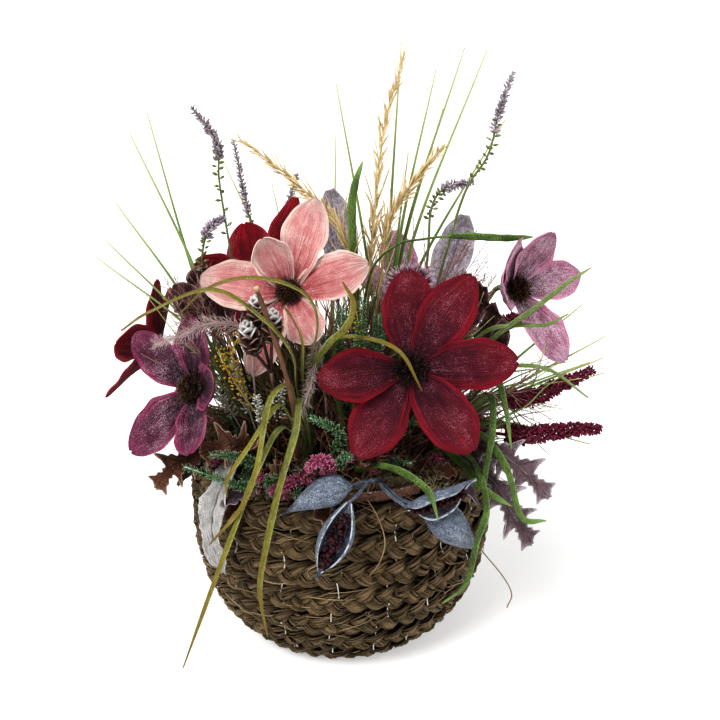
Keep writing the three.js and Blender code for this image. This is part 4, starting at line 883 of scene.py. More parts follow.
# ---- Grasses ------------------------------------------------------------------------------------
# Thin green grass leaves of soft plastic, a little flattened, in tufts that fan out over the
# rest. Each tuft is its foot and, for each grass, its halfway point and its tip.
grass_green = finish("grass_green", (0.05, 0.10, 0.022), (0.32, 0.41, 0.15), lines=4, stretch=14,
    patches=14, rough=0.6, tip=(0.42, 0.42, 0.19), tip_from=0.7)
TUFTS = {
    "grass_tall": ((36, 38, 5), [
        [(38, 48, 300), (46, 58, 452)], [(46, 50, 300), (73, 64, 432)],
        [(50, 54, 300), (95, 70, 448)], [(56, 56, 296), (112, 70, 446)],
        [(40, 44, 260), (52, 46, 372)], [(20, 62, 290), (-4, 92, 420)],
        [(48, 70, 280), (84, 120, 398)], [(60, 60, 270), (132, 92, 392)]]),
    "grass_left": ((-70, 2, 4), [
        [(-102, -26, 292), (-148, -6, 392)], [(-110, -22, 268), (-160, -14, 344)],
        [(-112, -14, 250), (-168, -20, 318)], [(-106, -8, 280), (-140, 18, 404)],
        [(-110, -4, 240), (-182, 2, 300)]]),
    "grass_right": ((68, -10, 4.5), [
        [(130, -24, 200), (196, -30, 232)], [(126, -16, 190), (202, -14, 214)],
        [(130, -4, 196), (206, 8, 236)], [(128, 6, 188), (200, 26, 208)],
        [(120, -30, 180), (188, -44, 168)], [(128, 16, 204), (196, 48, 250)]]),
    "grass_back": ((-12, 60, 4.5), [
        [(-40, 110, 240), (-64, 160, 330)], [(-24, 120, 230), (-30, 180, 300)],
        [(-8, 104, 250), (-6, 148, 372)], [(-52, 100, 250), (-104, 142, 352)],
        [(-30, 116, 200), (-40, 186, 226)], [(-14, 122, 196), (-6, 188, 250)]])}
for seed, (name, (foot, grasses)) in enumerate(TUFTS.items(), 1):
    tones = np.random.default_rng(seed).uniform(0, 1, len(grasses))
    make_piece(name, joined(peg(foot), *[
        rod([root(foot, points[0]), *points], 2.2, 0.5, steps=26, tone=tone, flat=0.6)
        for points, tone in zip(grasses, tones)]), grass_green, "grass", name)


# ---- Plumes, spikes and sprigs ------------------------------------------------------------------
# Dried wheat plumes, lavender, amaranth, heather and fine fillers. Each is a thin stem whose upper
# part carries small grains, florets, beads, needles or hairs, made one by one and set round it.
NEEDLE = dict(length=(3.4, 5.6), radius=(0.42, 0.65), spread=1.5, off=(0.4, 0.9), plump=0.6,
              steps=4)


def stations(points, spot, facing=SIDEWAYS, count=401):
    """The numbered spots on a smooth line of "count" points: each one's place, the line's
    direction, the side = direction x facing, and the normal = side x direction."""
    line = line_through(points, count)
    along = unit(np.gradient(line, axis=0))[spot]
    side = unit(np.cross(along, unit(np.array(facing, float))))
    return line[spot], along, side, np.cross(side, along)


def beads_on(points, count, first, seed, spread, length, radius, off=(0.4, 0.8), shrink=0.4,
             **form):
    """Small bodies round the stem from the share "first" to its tip. Each sits on the stem's
    surface at a random turn, and its way is the stem's direction + spread * outwards."""
    draw = draws(seed, count, 1)
    number = np.arange(count)[:, None]
    share = first + (1 - first) * (number + draw(0, 1)) / count
    spot = np.minimum((share * 399).astype(int), 399)[:, 0]
    place, along, right, up = stations(points, spot, count=400)
    around = number * GOLDEN_TURN + draw(-0.5, 0.5)
    outward = right * np.cos(around) + up * np.sin(around)
    small = 1 - shrink * ((share - first) / (1 - first)) ** 2
    starts = place + outward * draw(*off) * small
    ways = along + outward * spread * draw(0.6, 1.3)
    return spindles(starts, ways, draw(*length) * small, draw(*radius) * small, seed + 1, **form)


def grower(*layers):
    """What grows on a stem: layers of small bodies, each its count, the share of the stem that it
    starts from, what its seed is raised by, and its form."""
    return lambda points, seed: [beads_on(points, count, first, seed + rise, **form)
                                 for count, first, rise, form in layers]


def needles(count, first, **form):
    """Fine needles or hairs close together along a stem."""
    return grower((count, first, 0, {**NEEDLE, **form}))


def lavender(first):
    """Whorls of florets on the last part of the stem, from a third past the share "first"."""
    upper = first + (1 - first) * 0.32
    return grower((int(250 * (1 - upper)), upper, 0, dict(
        spread=1.7, length=(3.2, 5.2), radius=(0.8, 1.25), sides=5, steps=6, plump=0.6, bend=0.25)))


def spray(name, at, material, slot, thick, grow, seed, *stems, budded=False):
    """Stems from one foot, each with what "grow" puts on it; they thin to half of "thick". Budded
    stems are a green piece of their own, with pairs of buds on short stalks."""
    wholes = [[root(at, points[0]), *points] for points in stems]
    sticks = [peg(at)] + [rod(whole, thick, thick * 0.5, sides=6, steps=30, tone=0.3 + 0.1 * i)
                          for i, whole in enumerate(wholes)]
    grown = [body for i, whole in enumerate(wholes) for body in grow(whole, seed + 10 * i)]
    if budded:
        sticks += [body for i, whole in enumerate(wholes)
                   for body in buds(whole[:-1], seed + 5 + 10 * i)]
        make_piece(name + "_stems", joined(*sticks), green_stem, "stem", name)
        sticks = []
    make_piece(name, joined(*grown, *sticks), material, slot, name)


# Wheat: long grains that lean off the stem in dense forks, long awns, and short ones among them.
wheat = grower(
    (60, 0.40, 0, dict(spread=0.40, length=(11, 19), radius=(0.65, 1.0), sides=5, steps=7, bend=0.2,
                       plump=0.9, shrink=0.45)),
    (34, 0.24, 3, dict(spread=0.30, length=(22, 40), radius=(0.5, 0.75), steps=8, bend=0.22,
                       plump=0.5, shrink=0.8)),
    (18, 0.36, 5, dict(spread=0.6, length=(10, 15), radius=(0.22, 0.34), sides=3, steps=4,
                       bend=0.16, shrink=0.6)))
# Amaranth: a thick tail of beads, a solid core of blunt grains with loose ones on top.
amaranth = grower(
    (620, 0.42, 0, dict(spread=2.5, length=(2.4, 3.6), radius=(1.1, 1.6), off=(1.5, 5.2), steps=4,
                        plump=0.5, bend=0.2, shrink=0.45)),
    (160, 0.42, 5, dict(spread=1.6, length=(1.8, 2.8), radius=(0.5, 0.8), off=(4.5, 6.4), steps=4,
                        plump=0.5, shrink=0.45)))
buds = grower((22, 0.58, 0, dict(spread=3.0, length=(4.0, 6.0), radius=(0.9, 1.3), sides=6, steps=6,
                                 plump=1.5, shrink=0.1)))
wheat_straw = finish("wheat_straw", (0.40, 0.26, 0.10), (0.78, 0.66, 0.40), lines=4, stretch=12,
    patches=120, tone_share=0.45)
lavender_bud = finish("lavender_bud", (0.12, 0.095, 0.11), (0.46, 0.38, 0.45), lines=3, stretch=4,
    patches=60, dust=0.1, tone_share=0.4)
amaranth_grain = finish("amaranth_grain", (0.045, 0.004, 0.014), (0.22, 0.022, 0.055), patches=200,
    dust=0.06, dust_colour=(0.42, 0.2, 0.28), tone_share=0.5, **tiny)
heather_green = finish("heather_green", (0.022, 0.055, 0.024), (0.16, 0.28, 0.13), patches=90,
    tone_share=0.5, tip=(0.40, 0.52, 0.40), tip_from=0.8, **tiny)
heather_flower = finish("heather_flower", (0.16, 0.016, 0.055), (0.56, 0.15, 0.27), patches=90,
    tone_share=0.5, tip=(0.72, 0.42, 0.50), tip_from=0.8, **tiny)
pink_hair = finish("pink_grey_hair", (0.30, 0.20, 0.20), (0.74, 0.62, 0.61), patches=60,
    tone_share=0.4, **tiny)
mustard_bead = finish("mustard_bead", (0.24, 0.15, 0.02), (0.62, 0.44, 0.08), patches=200,
    tone_share=0.4, **tiny)
heather, pink_heather = (heather_green, "heather"), (heather_flower, "pink_heather")
spray("plume_bunch", (12, 14, 4), wheat_straw, "plume", 1.3, wheat, 200, [(20, 12, 250),
    (25, 16, 320), (33, 34, 390), (48, 44, 445)], [(8, 6, 250), (4, 6, 312), (-31, 18, 352),
    (-75, 30, 384)], [(30, 16, 270), (36, 20, 322), (54, 30, 350), (77, 40, 376)])
spray("lavender_left", (-46, -14, STEM_FOOT), lavender_bud, "lavender", 1.2, lavender(0.55), 300,
    [(-70, -18, 250), (-78, -16, 300), (-86, -8, 358), (-87, -4, 386), (-104, -2, 410)],
    [(-84, -32, 260), (-97, -36, 298), (-92, -36, 328), (-80, -36, 338)], budded=True)
spray("lavender_right", (52, 16, STEM_FOOT), lavender_bud, "lavender", 1.2, lavender(0.55), 320,
    [(72, 6, 270), (92, 14, 344), (110, 22, 373), (118, 28, 405), (127, 32, 432)], [(66, 16, 290),
    (69, 24, 332), (80, 28, 348), (101, 30, 352)], budded=True)
spray("lavender_back", (-44, 52, STEM_FOOT), lavender_bud, "lavender", 1.2, lavender(0.5), 340,
    [(-66, 90, 250), (-80, 112, 310), (-92, 124, 372)], [(-50, 92, 240), (-50, 128, 300),
    (-40, 146, 340)], budded=True)
spray("amaranth_right", (62, -34, STEM_FOOT), amaranth_grain, "amaranth", 1.6, amaranth, 400,
    [(92, -40, 200), (118, -52, 208), (140, -54, 210), (164, -48, 219), (186, -42, 227)],
    [(90, -46, 182), (118, -61, 184), (142, -63, 185), (168, -58, 186), (192, -54, 185)])
spray("amaranth_back", (60, 40, STEM_FOOT), amaranth_grain, "amaranth", 1.6, amaranth, 420,
    [(92, 64, 196), (124, 82, 216), (152, 96, 222), (176, 104, 214)], [(84, 78, 176),
    (104, 108, 180), (122, 132, 172), (136, 148, 154)])
spray("heather_left", (-52, -56, STEM_FOOT), *heather, 1.0, needles(150, 0.3), 500,
    [(-54, -92, 160), (-64, -112, 168), (-80, -118, 177), (-104, -114, 184)], [(-58, -88, 174),
    (-70, -102, 186), (-86, -112, 192)])
spray("heather_front", (-4, -76, STEM_FOOT), *heather, 1.0, needles(140, 0.3), 520,
    [(-4, -102, 186), (2, -114, 207), (-7, -121, 218), (-18, -121, 223)], [(0, -98, 176),
    (4, -112, 190), (8, -124, 196)])
spray("heather_pink", (-12, -80, STEM_FOOT), *pink_heather, 1.0, needles(240, 0.35,
    length=(2.8, 4.8), radius=(0.45, 0.75), spread=2.2, off=(0.6, 3.0)), 540, [(-8, -104, 170),
    (-6, -124, 190), (-12, -133, 198), (-20, -134, 192)], [(-18, -94, 170), (-32, -112, 170),
    (-47, -118, 166)])
spray("heather_back", (-36, 74, STEM_FOOT), *heather, 1.0, needles(140, 0.3), 560, [(-48, 102, 172),
    (-62, 124, 178), (-80, 138, 170)], [(-44, 98, 178), (-54, 130, 168), (-58, 146, 144)])
spray("hairy_sprig", (-58, -42, STEM_FOOT), pink_hair, "hairy", 0.9, needles(420, 0.36,
    length=(5, 10), radius=(0.15, 0.25), spread=1.0, bend=0.5), 600, [(-60, -66, 226),
    (-62, -78, 266), (-82, -92, 279), (-104, -98, 272), (-121, -98, 266)])
spray("mustard_sprigs", (-40, -44, STEM_FOOT), mustard_bead, "mustard", 0.8, needles(44, 0.45,
    length=(2, 3), radius=(0.7, 1.1), spread=2.0, off=(0.6, 5.5), plump=0.5), 620, [(-60, -64, 210),
    (-72, -84, 250), (-62, -96, 278)], [(-56, -70, 200), (-74, -86, 240), (-80, -92, 260)])


# ---- Cut leaves ---------------------------------------------------------------------------------
# Oak-like leaves of thin frosted plastic, two felt leaves and a white velvet one. Each is a thin
# sheet with a midrib on its own stalk.
def leaf_sheet(points, first, half_width, facing, cup, tone, lobes=0, ruffle=0.6, cut=1.0):
    """A leaf over the last part of the line through the points, from the share "first". Its sides
    spread along direction x facing; its edges are cupped by u squared. An even leaf is half_width
    * sin(pi * (0.06 + 0.9 t)) ** 0.7 wide, and a cut one has lobes that lean forward, with small
    teeth; "cut" says how deep. Side veins run from the midrib forward to the edge."""
    rows, columns = (97, 17) if lobes else (33, 15)
    t = np.linspace(0, 1, rows)[:, None, None]
    u = np.linspace(-1, 1, columns)[None, :, None]
    spot = np.round((first + (1 - first) * t[:, 0, 0]) * 400).astype(int)
    place, along, side, normal = [part[:, None] for part in stations(points, spot, facing)]
    if lobes:
        body = half_width * np.sin(np.pi * (0.08 + 0.86 * t)) ** 0.7
        saw = (t * lobes) % 1
        rise = np.where(saw < 0.62, (saw / 0.62) ** 2.6, ((1 - saw) / 0.38) ** 2.2)
        teeth = 0.16 * np.abs(np.sin(np.pi * lobes * 4 * t + 0.6)) ** 3
        width = body * (1 - 0.74 * cut + cut * (0.84 * rise + teeth)) + 0.6
        forward = 0.6 * cut * body * rise
    else:
        width = half_width * np.sin(np.pi * (0.06 + 0.9 * t)) ** 0.7 + 0.3
        forward = 0 * t
    edge = np.sin(t * 19 + tone * 9) * ruffle * u ** 2 * np.sign(u + 0.01)
    midrib = -0.8 * np.exp(-(u / 0.12) ** 2)
    veins = (0.55 if lobes else 0.3) * np.sin(2 * np.pi * (7 * t - 1.3 * np.abs(u))) * (1 - u ** 4)
    grid = place + side * width * u + along * forward * (u ** 2 - 0.3) \
        + normal * (cup * width * u ** 2 + edge + midrib + veins)
    return plates(grid[None], 0.7, tone)


def leaf_spray(name, at, material, slot, facing, half_width, lobes, cup, seed, *leaves, **form):
    """Leaves from one foot: the stalk's point and the leaf's points of each. The leaf starts a
    little behind the stalk's point."""
    at = (*at, STEM_FOOT)
    bodies = []
    for i, (stalk, *leaf) in enumerate(leaves):
        points = [root(at, stalk), stalk, *leaf]
        first = 1.35 / (1 + len(leaf))
        line = line_through(points, 401)
        midrib = line[:int(400 * (first + (1 - first) * 0.75)):20]
        bodies.append(rod(midrib, 1.1, 0.5, steps=40, tone=0.4))
        tone = np.random.default_rng(seed + i).uniform(0, 1)
        bodies.append(leaf_sheet(points, first, half_width, facing, cup, tone, lobes=lobes, **form))
    make_piece(name, joined(peg(at), *bodies), material, slot, name)


frosted_edge = dict(lines=14, stretch=9, patches=90, relief=0.9, depth=0.0008, dust_scale=1600)
napped = dict(lines=9, rough=0.95, relief=1.0, depth=0.002)
oak_mauve = finish("oak_leaf_mauve", (0.05, 0.028, 0.034), (0.24, 0.16, 0.18), dust=0.10,
    dust_edge=0.3, dust_colour=(0.52, 0.47, 0.50), rim=(0.36, 0.31, 0.33), rim_from=0.85,
    **frosted_edge)
oak_brown = finish("oak_leaf_brown", (0.035, 0.013, 0.009), (0.26, 0.12, 0.073), dust=0.05,
    dust_edge=0.25, dust_colour=(0.46, 0.36, 0.31), rim=(0.42, 0.27, 0.17), rim_from=0.88,
    **frosted_edge)
felt = finish("lilac_felt", (0.10, 0.075, 0.10), (0.44, 0.37, 0.44), stretch=5, patches=260,
    dust=0.24, dust_colour=(0.62, 0.57, 0.62), sheen=0.3, dust_scale=420, **napped)
velvet = finish("white_velvet", (0.20, 0.185, 0.18), (0.60, 0.58, 0.56), stretch=7, patches=240,
    dust=0.1, dust_colour=(0.82, 0.81, 0.79), sheen=0.4, **napped)
leaf_spray("oak_leaves_right", (74, -28), oak_mauve, "oak_leaf", (0.3, -0.9, 0.3), 15, 4, 0.18, 1,
    [(88, -44, 170), (110, -68, 176), (131, -78, 164), (152, -82, 143)], [(86, -52, 166),
    (108, -84, 160), (124, -94, 136), (140, -91, 110)], ruffle=1.4)
leaf_spray("oak_leaves_left", (-70, -34), oak_brown, "oak_leaf", (-0.3, -0.9, 0.4), 15, 4, 0.18, 2,
    [(-64, -62, 178), (-65, -80, 184), (-77, -91, 190), (-96, -98, 186)], [(-84, -40, 166),
    (-102, -52, 166), (-120, -62, 160), (-136, -66, 142)])
leaf_spray("oak_leaves_back", (4, 74), oak_mauve, "oak_leaf", (0, 0.9, 0.4), 15, 4, 0.18, 3,
    [(-2, 94, 174), (-10, 116, 172), (-20, 138, 158), (-26, 152, 132)], [(12, 94, 172),
    (26, 118, 166), (40, 136, 152), (50, 148, 126)])
leaf_spray("felt_leaf_right", (62, 14), felt, "felt_leaf", (-0.2, -0.9, 0.4), 15, 0, 0.3, 4,
    [(74, 20, 240), (82, 34, 276), (92, 46, 300), (98, 54, 322)], ruffle=2.2)
leaf_spray("felt_leaf_left", (-12, 30), felt, "felt_leaf", (-0.2, -0.9, 0.4), 15, 0, 0.3, 5,
    [(-4, 36, 240), (1, 44, 288), (-3, 52, 316), (-9, 60, 341)], ruffle=2.2)
leaf_spray("velvet_leaf", (-72, -42), velvet, "velvet_leaf", (-0.6, -0.75, 0.3), 12.5, 4, 0.2, 6,
    [(-76, -60, 174), (-78, -90, 170), (-87, -107, 148), (-89, -106, 122), (-82, -110, 98)],
    cut=0.3, ruffle=1.8)


# ---- Cones, twig and bark -----------------------------------------------------------------------
# Three small pine cones, dipped in white at their scales' tips, on a forked twig; a cut twig that
# stands between the blades; and a strip of ridged bark that lies on the front of the rim.
SCALES = 27
FROSTED_FROM = 17
CONE_RADIUS = 9.2
CONE_SEED = 700


def cone_scales(first, last):
    """Scales first to last of all the cones, on a spiral round each axis: scale i is 137.5 degrees
    on from scale i - 1 and stands where the cone is radius * sin(pi * (0.14 + 0.8 * share)) ** 0.7
    wide. A scale is a cupped plate that leaves the axis, leans towards the tip and widens to a
    blunt lip."""
    bodies = []
    for i, axis in enumerate(CONES):
        chance = np.random.default_rng(CONE_SEED + i + first)
        turns = np.arange(first, last)[:, None, None, None]
        share = (turns + 0.5) / SCALES
        spot = np.round(share.ravel() * 100).astype(int)
        place, along, right, up = [part[:, None, None] for part in stations(axis, spot, count=101)]
        around = turns * GOLDEN_TURN
        outward = right * np.cos(around) + up * np.sin(around)
        aside = np.cross(along, outward)
        v = np.linspace(0, 1, 6)[None, :, None, None]
        u = np.linspace(-1, 1, 5)[None, None, :, None]
        reach = CONE_RADIUS * np.sin(np.pi * (0.14 + 0.8 * share)) ** 0.7 \
            * chance.uniform(0.92, 1.05, turns.shape)
        wide = 0.6 * reach * np.sin(np.pi * (0.12 + 0.7 * v)) * (1 - 0.25 * (v > 0.9))
        out = reach * v * (0.55 + 0.45 * (1 - share))
        lift = reach * (0.15 + 0.75 * share) * v ** 1.5
        grids = place + outward * (out - 0.12 * wide * u ** 2) + aside * wide * u \
            + along * (lift - 0.35 * wide * u ** 2)
        bodies.append(plates(grids, 1.5, chance.uniform(0, 1, len(turns))))
    return bodies


def bark_sheet():
    """The strip: it follows the rim for 27 degrees to both sides of -86 degrees, 111 mm from the
    axis, 6 mm high and 3 mm thick, with uneven ridges along it."""
    angle = np.radians(BARK_MIDDLE + BARK_REACH * np.linspace(-1, 1, 90))[:, None]
    u = np.linspace(-1, 1, 21)[None, :]
    ridge = 0.45 * np.sin(15 * u + 2 * np.sin(angle * 9)) + 0.3 * np.sin(31 * u + angle * 40)
    height = BASKET_HEIGHT + 3.85 + u * (3 - 0.5 * np.sin(angle * 13 + 1) ** 2)
    return plates(polar(BELLY_RADIUS - 8 + ridge, angle, height)[None], 3.2, 0.5)


FORK = (-45, -92, 244)
CONES = [[(-54, -106, 263), (-56, -111, 274), (-58, -114, 285)],
         [(-51, -98, 277), (-52, -99, 288), (-52, -99, 298)],
         [(-43, -104, 270), (-42, -107, 281), (-41, -108, 291)]]
scaly = dict(lines=6, stretch=4, patches=90, relief=0.6)
cone_wood = finish("cone_wood", (0.016, 0.008, 0.006), (0.11, 0.06, 0.045), tip=(0.26, 0.18, 0.15),
    tip_from=0.85, dust=0.03, dust_edge=0.02, **scaly)
frosted_scale = finish("frosted_scale", (0.07, 0.055, 0.05), (0.50, 0.47, 0.455),
    tip=(0.66, 0.64, 0.63), tip_from=0.62, **scaly)
bark = finish("ridged_bark", (0.055, 0.026, 0.016), (0.27, 0.15, 0.10), lines=10, stretch=14,
    patches=120, rough=0.85, relief=0.9, depth=0.0012, dust=0.02)
pale_cut = finish("cut_twig_bark", (0.045, 0.019, 0.012), (0.235, 0.125, 0.075), lines=6,
    stretch=20, patches=90, tip=(0.72, 0.60, 0.42), tip_from=0.965, relief=0.8)
cone_at, cut_at = (-44, -54, STEM_FOOT), (-30, -67, STEM_FOOT)
cut_points = [(-29, -92, 196), (-31, -116, 241), (-41, -122, 284), (-50, -121, 312)]
make_piece("cone_spray", joined(peg(cone_at), rod([root(cone_at, FORK), (-43, -82, 212), FORK], 1.6,
    1.3, knots=0.15), *[rod([FORK, cone[0]], 1.2, 1.1) for cone in CONES], *[rod(cone, 3.4, 2.2,
    sides=12, steps=10, tone=0.05) for cone in CONES], *cone_scales(0, FROSTED_FROM)), cone_wood,
    "cone", "cone_spray")
make_piece("cone_tips", joined(*cone_scales(FROSTED_FROM, SCALES)), frosted_scale, "cone",
    "cone_spray")
cut_stick = rod([root(cut_at, cut_points[0]), *cut_points], 1.8, 1.6, sides=12, steps=60, knots=0.2)
make_piece("cut_twig", joined(peg(cut_at), cut_stick), pale_cut, "bark", "cut_twig")
make_piece("bark_strip", bark_sheet(), bark, "bark", "bark_strip")


# ---- Pods ---------------------------------------------------------------------------------------
# A vine over the front of the rim with four leathery blue-grey pods with pale rims. Two are closed
# and pointed; two are split open and show rows of dark-red seeds.
SEEDS = 54


def pod_swell(t):
    """A pod's fullness: sin(pi * (0.05 + 1.01 t)) ** 1.2, and none in its last twentieth."""
    return np.maximum(np.sin(np.pi * np.minimum(0.05 + 1.01 * t, 1)), 0) ** 1.2


def pod_roll(points, most, tone):
    """A closed pod: round outlines most * pod_swell + 0.6 in radius with a seam and shallow
    creases along them."""
    t = np.linspace(0, 1, 44)[None, :, None]
    a = np.linspace(0, TURN, 24, endpoint=False)
    seam = 0.10 * np.exp(-((a - 1.2) / 0.16) ** 2)
    size = (most * pod_swell(t) + 0.6) * (
        1 + 0.05 * np.cos(5 * a + 2 * t) + 0.035 * np.cos(9 * a - 3 * t) - seam)
    return sweep(line_through(points, 44)[None], (0.1, 0.2, 1.0),
                 np.stack([size * np.cos(a), 0.86 * size * np.sin(a)], -1), tone)


def pod_shell(points, tone, opening):
    """An open pod whose mouth looks along "opening": with size = 12 * pod_swell + 0.6, its section
    runs 0.86 * size * sin(2.2 u) aside and 0.8 * size * u squared up, so its rims draw in again."""
    t = np.linspace(0, 1, 41)[:, None, None]
    u = np.linspace(-1, 1, 21)[None, :, None]
    place, _, side, normal = [part[:, None] for part in stations(
        points, np.round(t.ravel() * 400).astype(int), opening)]
    width = 12 * pod_swell(t) + 0.6
    wave = 0.6 * np.sin(t * 17 + tone * 5) * np.abs(u) ** 2
    grid = place + side * width * 0.86 * np.sin(u * 2.2) + normal * (0.8 * width * u ** 2 + wave)
    return plates(grid[None], 1.5, tone)


def seed_row(name, points, opening, seed):
    """Oval seeds in three rows that lie in an open pod, about 6 mm over its floor."""
    chance = np.random.default_rng(seed)
    row, lane = np.divmod(np.arange(SEEDS)[:, None], 3)
    lane = lane - 1
    t = 0.15 + 0.64 * row / (SEEDS // 3 - 1)
    room = np.sin(np.pi * (0.08 + 0.84 * (t - 0.15) / 0.64))
    place, _, side, normal = stations(points, np.round(t[:, 0] * 400).astype(int), opening)
    starts = place + side * lane * 3.0 * room + normal * (6.4 - 1.4 * np.abs(lane)) \
        + chance.uniform(-1.1, 1.1, (SEEDS, 3)) - normal * 2.1
    sizes = 1.8 * (0.75 + 0.25 * room) * chance.uniform(0.75, 1.1, (SEEDS, 1))
    ways = normal + side * lane * 0.4 + chance.normal(0, 0.3, (SEEDS, 3))
    make_piece(name, spindles(starts, ways, 4.3, sizes, seed, sides=10, steps=9, plump=0.5,
                              bend=0.05, blunt=0.04), seed_skin, "seed", name)


pod_leather = finish("pod_leather", (0.024, 0.031, 0.048), (0.21, 0.245, 0.31), stretch=6,
    patches=230, rough=0.6, dust=0.20, dust_edge=0.0, dust_colour=(0.46, 0.49, 0.54),
    dust_scale=1300, rim=(0.50, 0.52, 0.57), rim_from=0.96, relief=1.0, depth=0.0014,
    tone_share=0.25)
seed_skin = finish("seed_skin", (0.010, 0.002, 0.003), (0.055, 0.008, 0.012), lines=2, stretch=2,
    patches=300, rough=0.5, dust=0.02, dust_colour=(0.3, 0.14, 0.16), tone_share=0.5)
LEFT_OPENING = (0, -1, 0.25)
RIGHT_OPENING = (0.1, -0.85, -0.35)
pod_at = (30, -72, STEM_FOOT)
left_pod = [(8, -134, 168), (-2, -138, 142), (-15, -133, 108)]
right_pod = [(46, -134, 164), (66, -139, 174), (92, -126, 181)]
vine_points = [(28, -92, 164), (25, -114, 174), (8, -128, 177)]
make_piece("pod_spray", joined(peg(pod_at), rod([root(pod_at, vine_points[0]), *vine_points], 1.5,
    1.2, knots=0.2), rod([(20, -118, 175), (14, -130, 172), left_pod[0]], 1.5, 1.2),
    rod([(26, -106, 170), (36, -126, 168), right_pod[0]], 1.5, 1.2), rod([(28, -97, 166),
    (42, -118, 162), (58, -128, 162)], 1.5, 1.2), pod_roll([(10, -127, 176), (-8, -131, 174),
    (-38, -134, 158)], 10, 0.4), pod_roll([(56, -127, 162), (76, -131, 148), (98, -121, 121)], 11.5,
    0.2), pod_shell(left_pod, 0.3, LEFT_OPENING), pod_shell(right_pod, 0.6, RIGHT_OPENING)),
    pod_leather, "pod", "pod_spray")
seed_row("pod_seeds_left", left_pod, LEFT_OPENING, 800)
seed_row("pod_seeds_right", right_pod, RIGHT_OPENING, 810)


# ---- Thistle ------------------------------------------------------------------------------------
# A ball of soft mauve needles on a straight stem.
THISTLE_NEEDLES = 430
thistle_at = (24, -10, STEM_FOOT)
middle = np.array((52, -12, 280.0))
chance = np.random.default_rng(900)
ways = unit(chance.normal(size=(THISTLE_NEEDLES, 3)))
thistle_hair = finish("thistle_needle", (0.035, 0.010, 0.022), (0.30, 0.13, 0.20), patches=60,
    tip=(0.66, 0.48, 0.55), tip_from=0.75, tone_share=0.6, **tiny)
make_piece("thistle", joined(peg(thistle_at), rod([root(thistle_at, (36, -8, 230)), (36, -8, 230),
    middle + (0, 2, -6)], 1.8, 1.6), turned([(0, -7), (5, -5.5), (7, 0), (5, 5.5), (0, 7)], middle,
    np.eye(3)), spindles(middle + ways * 4, ways, chance.uniform(13, 18.5, THISTLE_NEEDLES), 0.62,
    901, plump=0.7, bend=0.08)), thistle_hair, "thistle", "thistle")


# ---- Dried stems, small leaves and sprigs between the blooms -------------------------------------
# Short dried stems, thin grass, small curled oak leaves and short sprigs that are pressed into the
# hay with the rest. They close the gaps between the blooms and soften the rim all round.
def wild(count, seed, rings, length, radius, spread=0.35, front=1.0, **form):
    """Stems at random places on the dome between two rings. Each heads upwards, leans out with
    its distance from the axis and strays at random, and gets shorter towards the front."""
    chance = np.random.default_rng(seed)
    wide = np.sqrt(chance.uniform(rings[0] ** 2, rings[1] ** 2, count))
    turn = chance.uniform(0, TURN, count)
    x, y = wide * np.cos(turn), wide * np.sin(turn)
    starts = np.stack([x, y, np.where(wide < FOAM_RADIUS, foam_height(x, y), 150) - 2], -1)
    ways = np.stack([x / 95, y / 95, np.ones(count)], -1) \
        + chance.normal(0, spread, (count, 3)) * (1, 1, 0.3)
    long = chance.uniform(*length, count) * np.interp(y, (-48, -28), (front, 1))
    return spindles(starts, ways, long, chance.uniform(*radius, count), seed + 1, blunt=0.4, **form)


def curled_leaves(name, material, count, seed, rings, length, width, rise):
    """Small cut leaves: from a base on the collar each runs outwards and a little up, droops by
    v squared, is width * sin(pi * (0.08 + 0.87 v)) ** 0.8 wide with lobes, and its sides curl.
    Those at the front start up to 18 mm further in, so that they clear the bark and the pods."""
    chance = np.random.default_rng(seed)
    wide = chance.uniform(*rings, count)
    turn = TURN * (np.arange(count) + chance.uniform(0, 1, count)) / count
    wide = wide - 18 * np.exp(-((np.degrees(turn) - 360 - BARK_MIDDLE) / 36) ** 2) * (wide > 80)
    base = polar(wide, turn, np.where(wide < FOAM_RADIUS, foam_height(wide, 0) + 2, 154))
    ways = unit(polar(1, turn, 0) + chance.normal(0, 0.45, (count, 3)) * (1, 1, 0.2)
                + polar(0, turn, chance.uniform(*rise, count)))
    side = unit(np.cross(ways, chance.normal(0, 0.35, (count, 3)) + (0, 0, 1)))
    base, ways, side, normal = [
        part[:, None, None] for part in (base, ways, side, np.cross(side, ways))]
    v = np.linspace(0, 1, 25)[None, :, None, None]
    u = np.linspace(-1, 1, 7)[None, None, :, None]

    def draw(low, high):
        return chance.uniform(low, high, (count, 1, 1, 1))

    long = draw(*length)
    half = draw(*width) * np.sin(np.pi * (0.08 + 0.87 * v)) ** 0.8
    lobes = 0.5 + 0.5 * np.abs(np.sin(3.5 * np.pi * v)) ** 0.8
    curl, roll = draw(0.1, 0.6), draw(-0.3, 0.3)
    droop = draw(0.1, 0.55) * long * v ** 2
    grids = base + ways * (long * v + 0.4 * half * lobes * u ** 2) + side * half * lobes * u \
        + normal * (curl * half * u ** 2 + roll * half * u * np.sin(4 * v)) - droop * (0, 0, 1.0)
    make_piece(name, plates(grids, 0.55, chance.uniform(0, 1, count)), material, "oak_leaf")


def dressed(name, lines, thick, thin, steps, grow, seed, material, slot, rise=1):
    """Bare stems along the lines, each with what "grow" puts on it; the seed rises with each."""
    bodies = []
    for i, line in enumerate(lines):
        bodies += [rod(line, thick, thin, sides=5, steps=steps), *grow(line, seed + rise * i)]
    make_piece(name, joined(*bodies), material, slot)


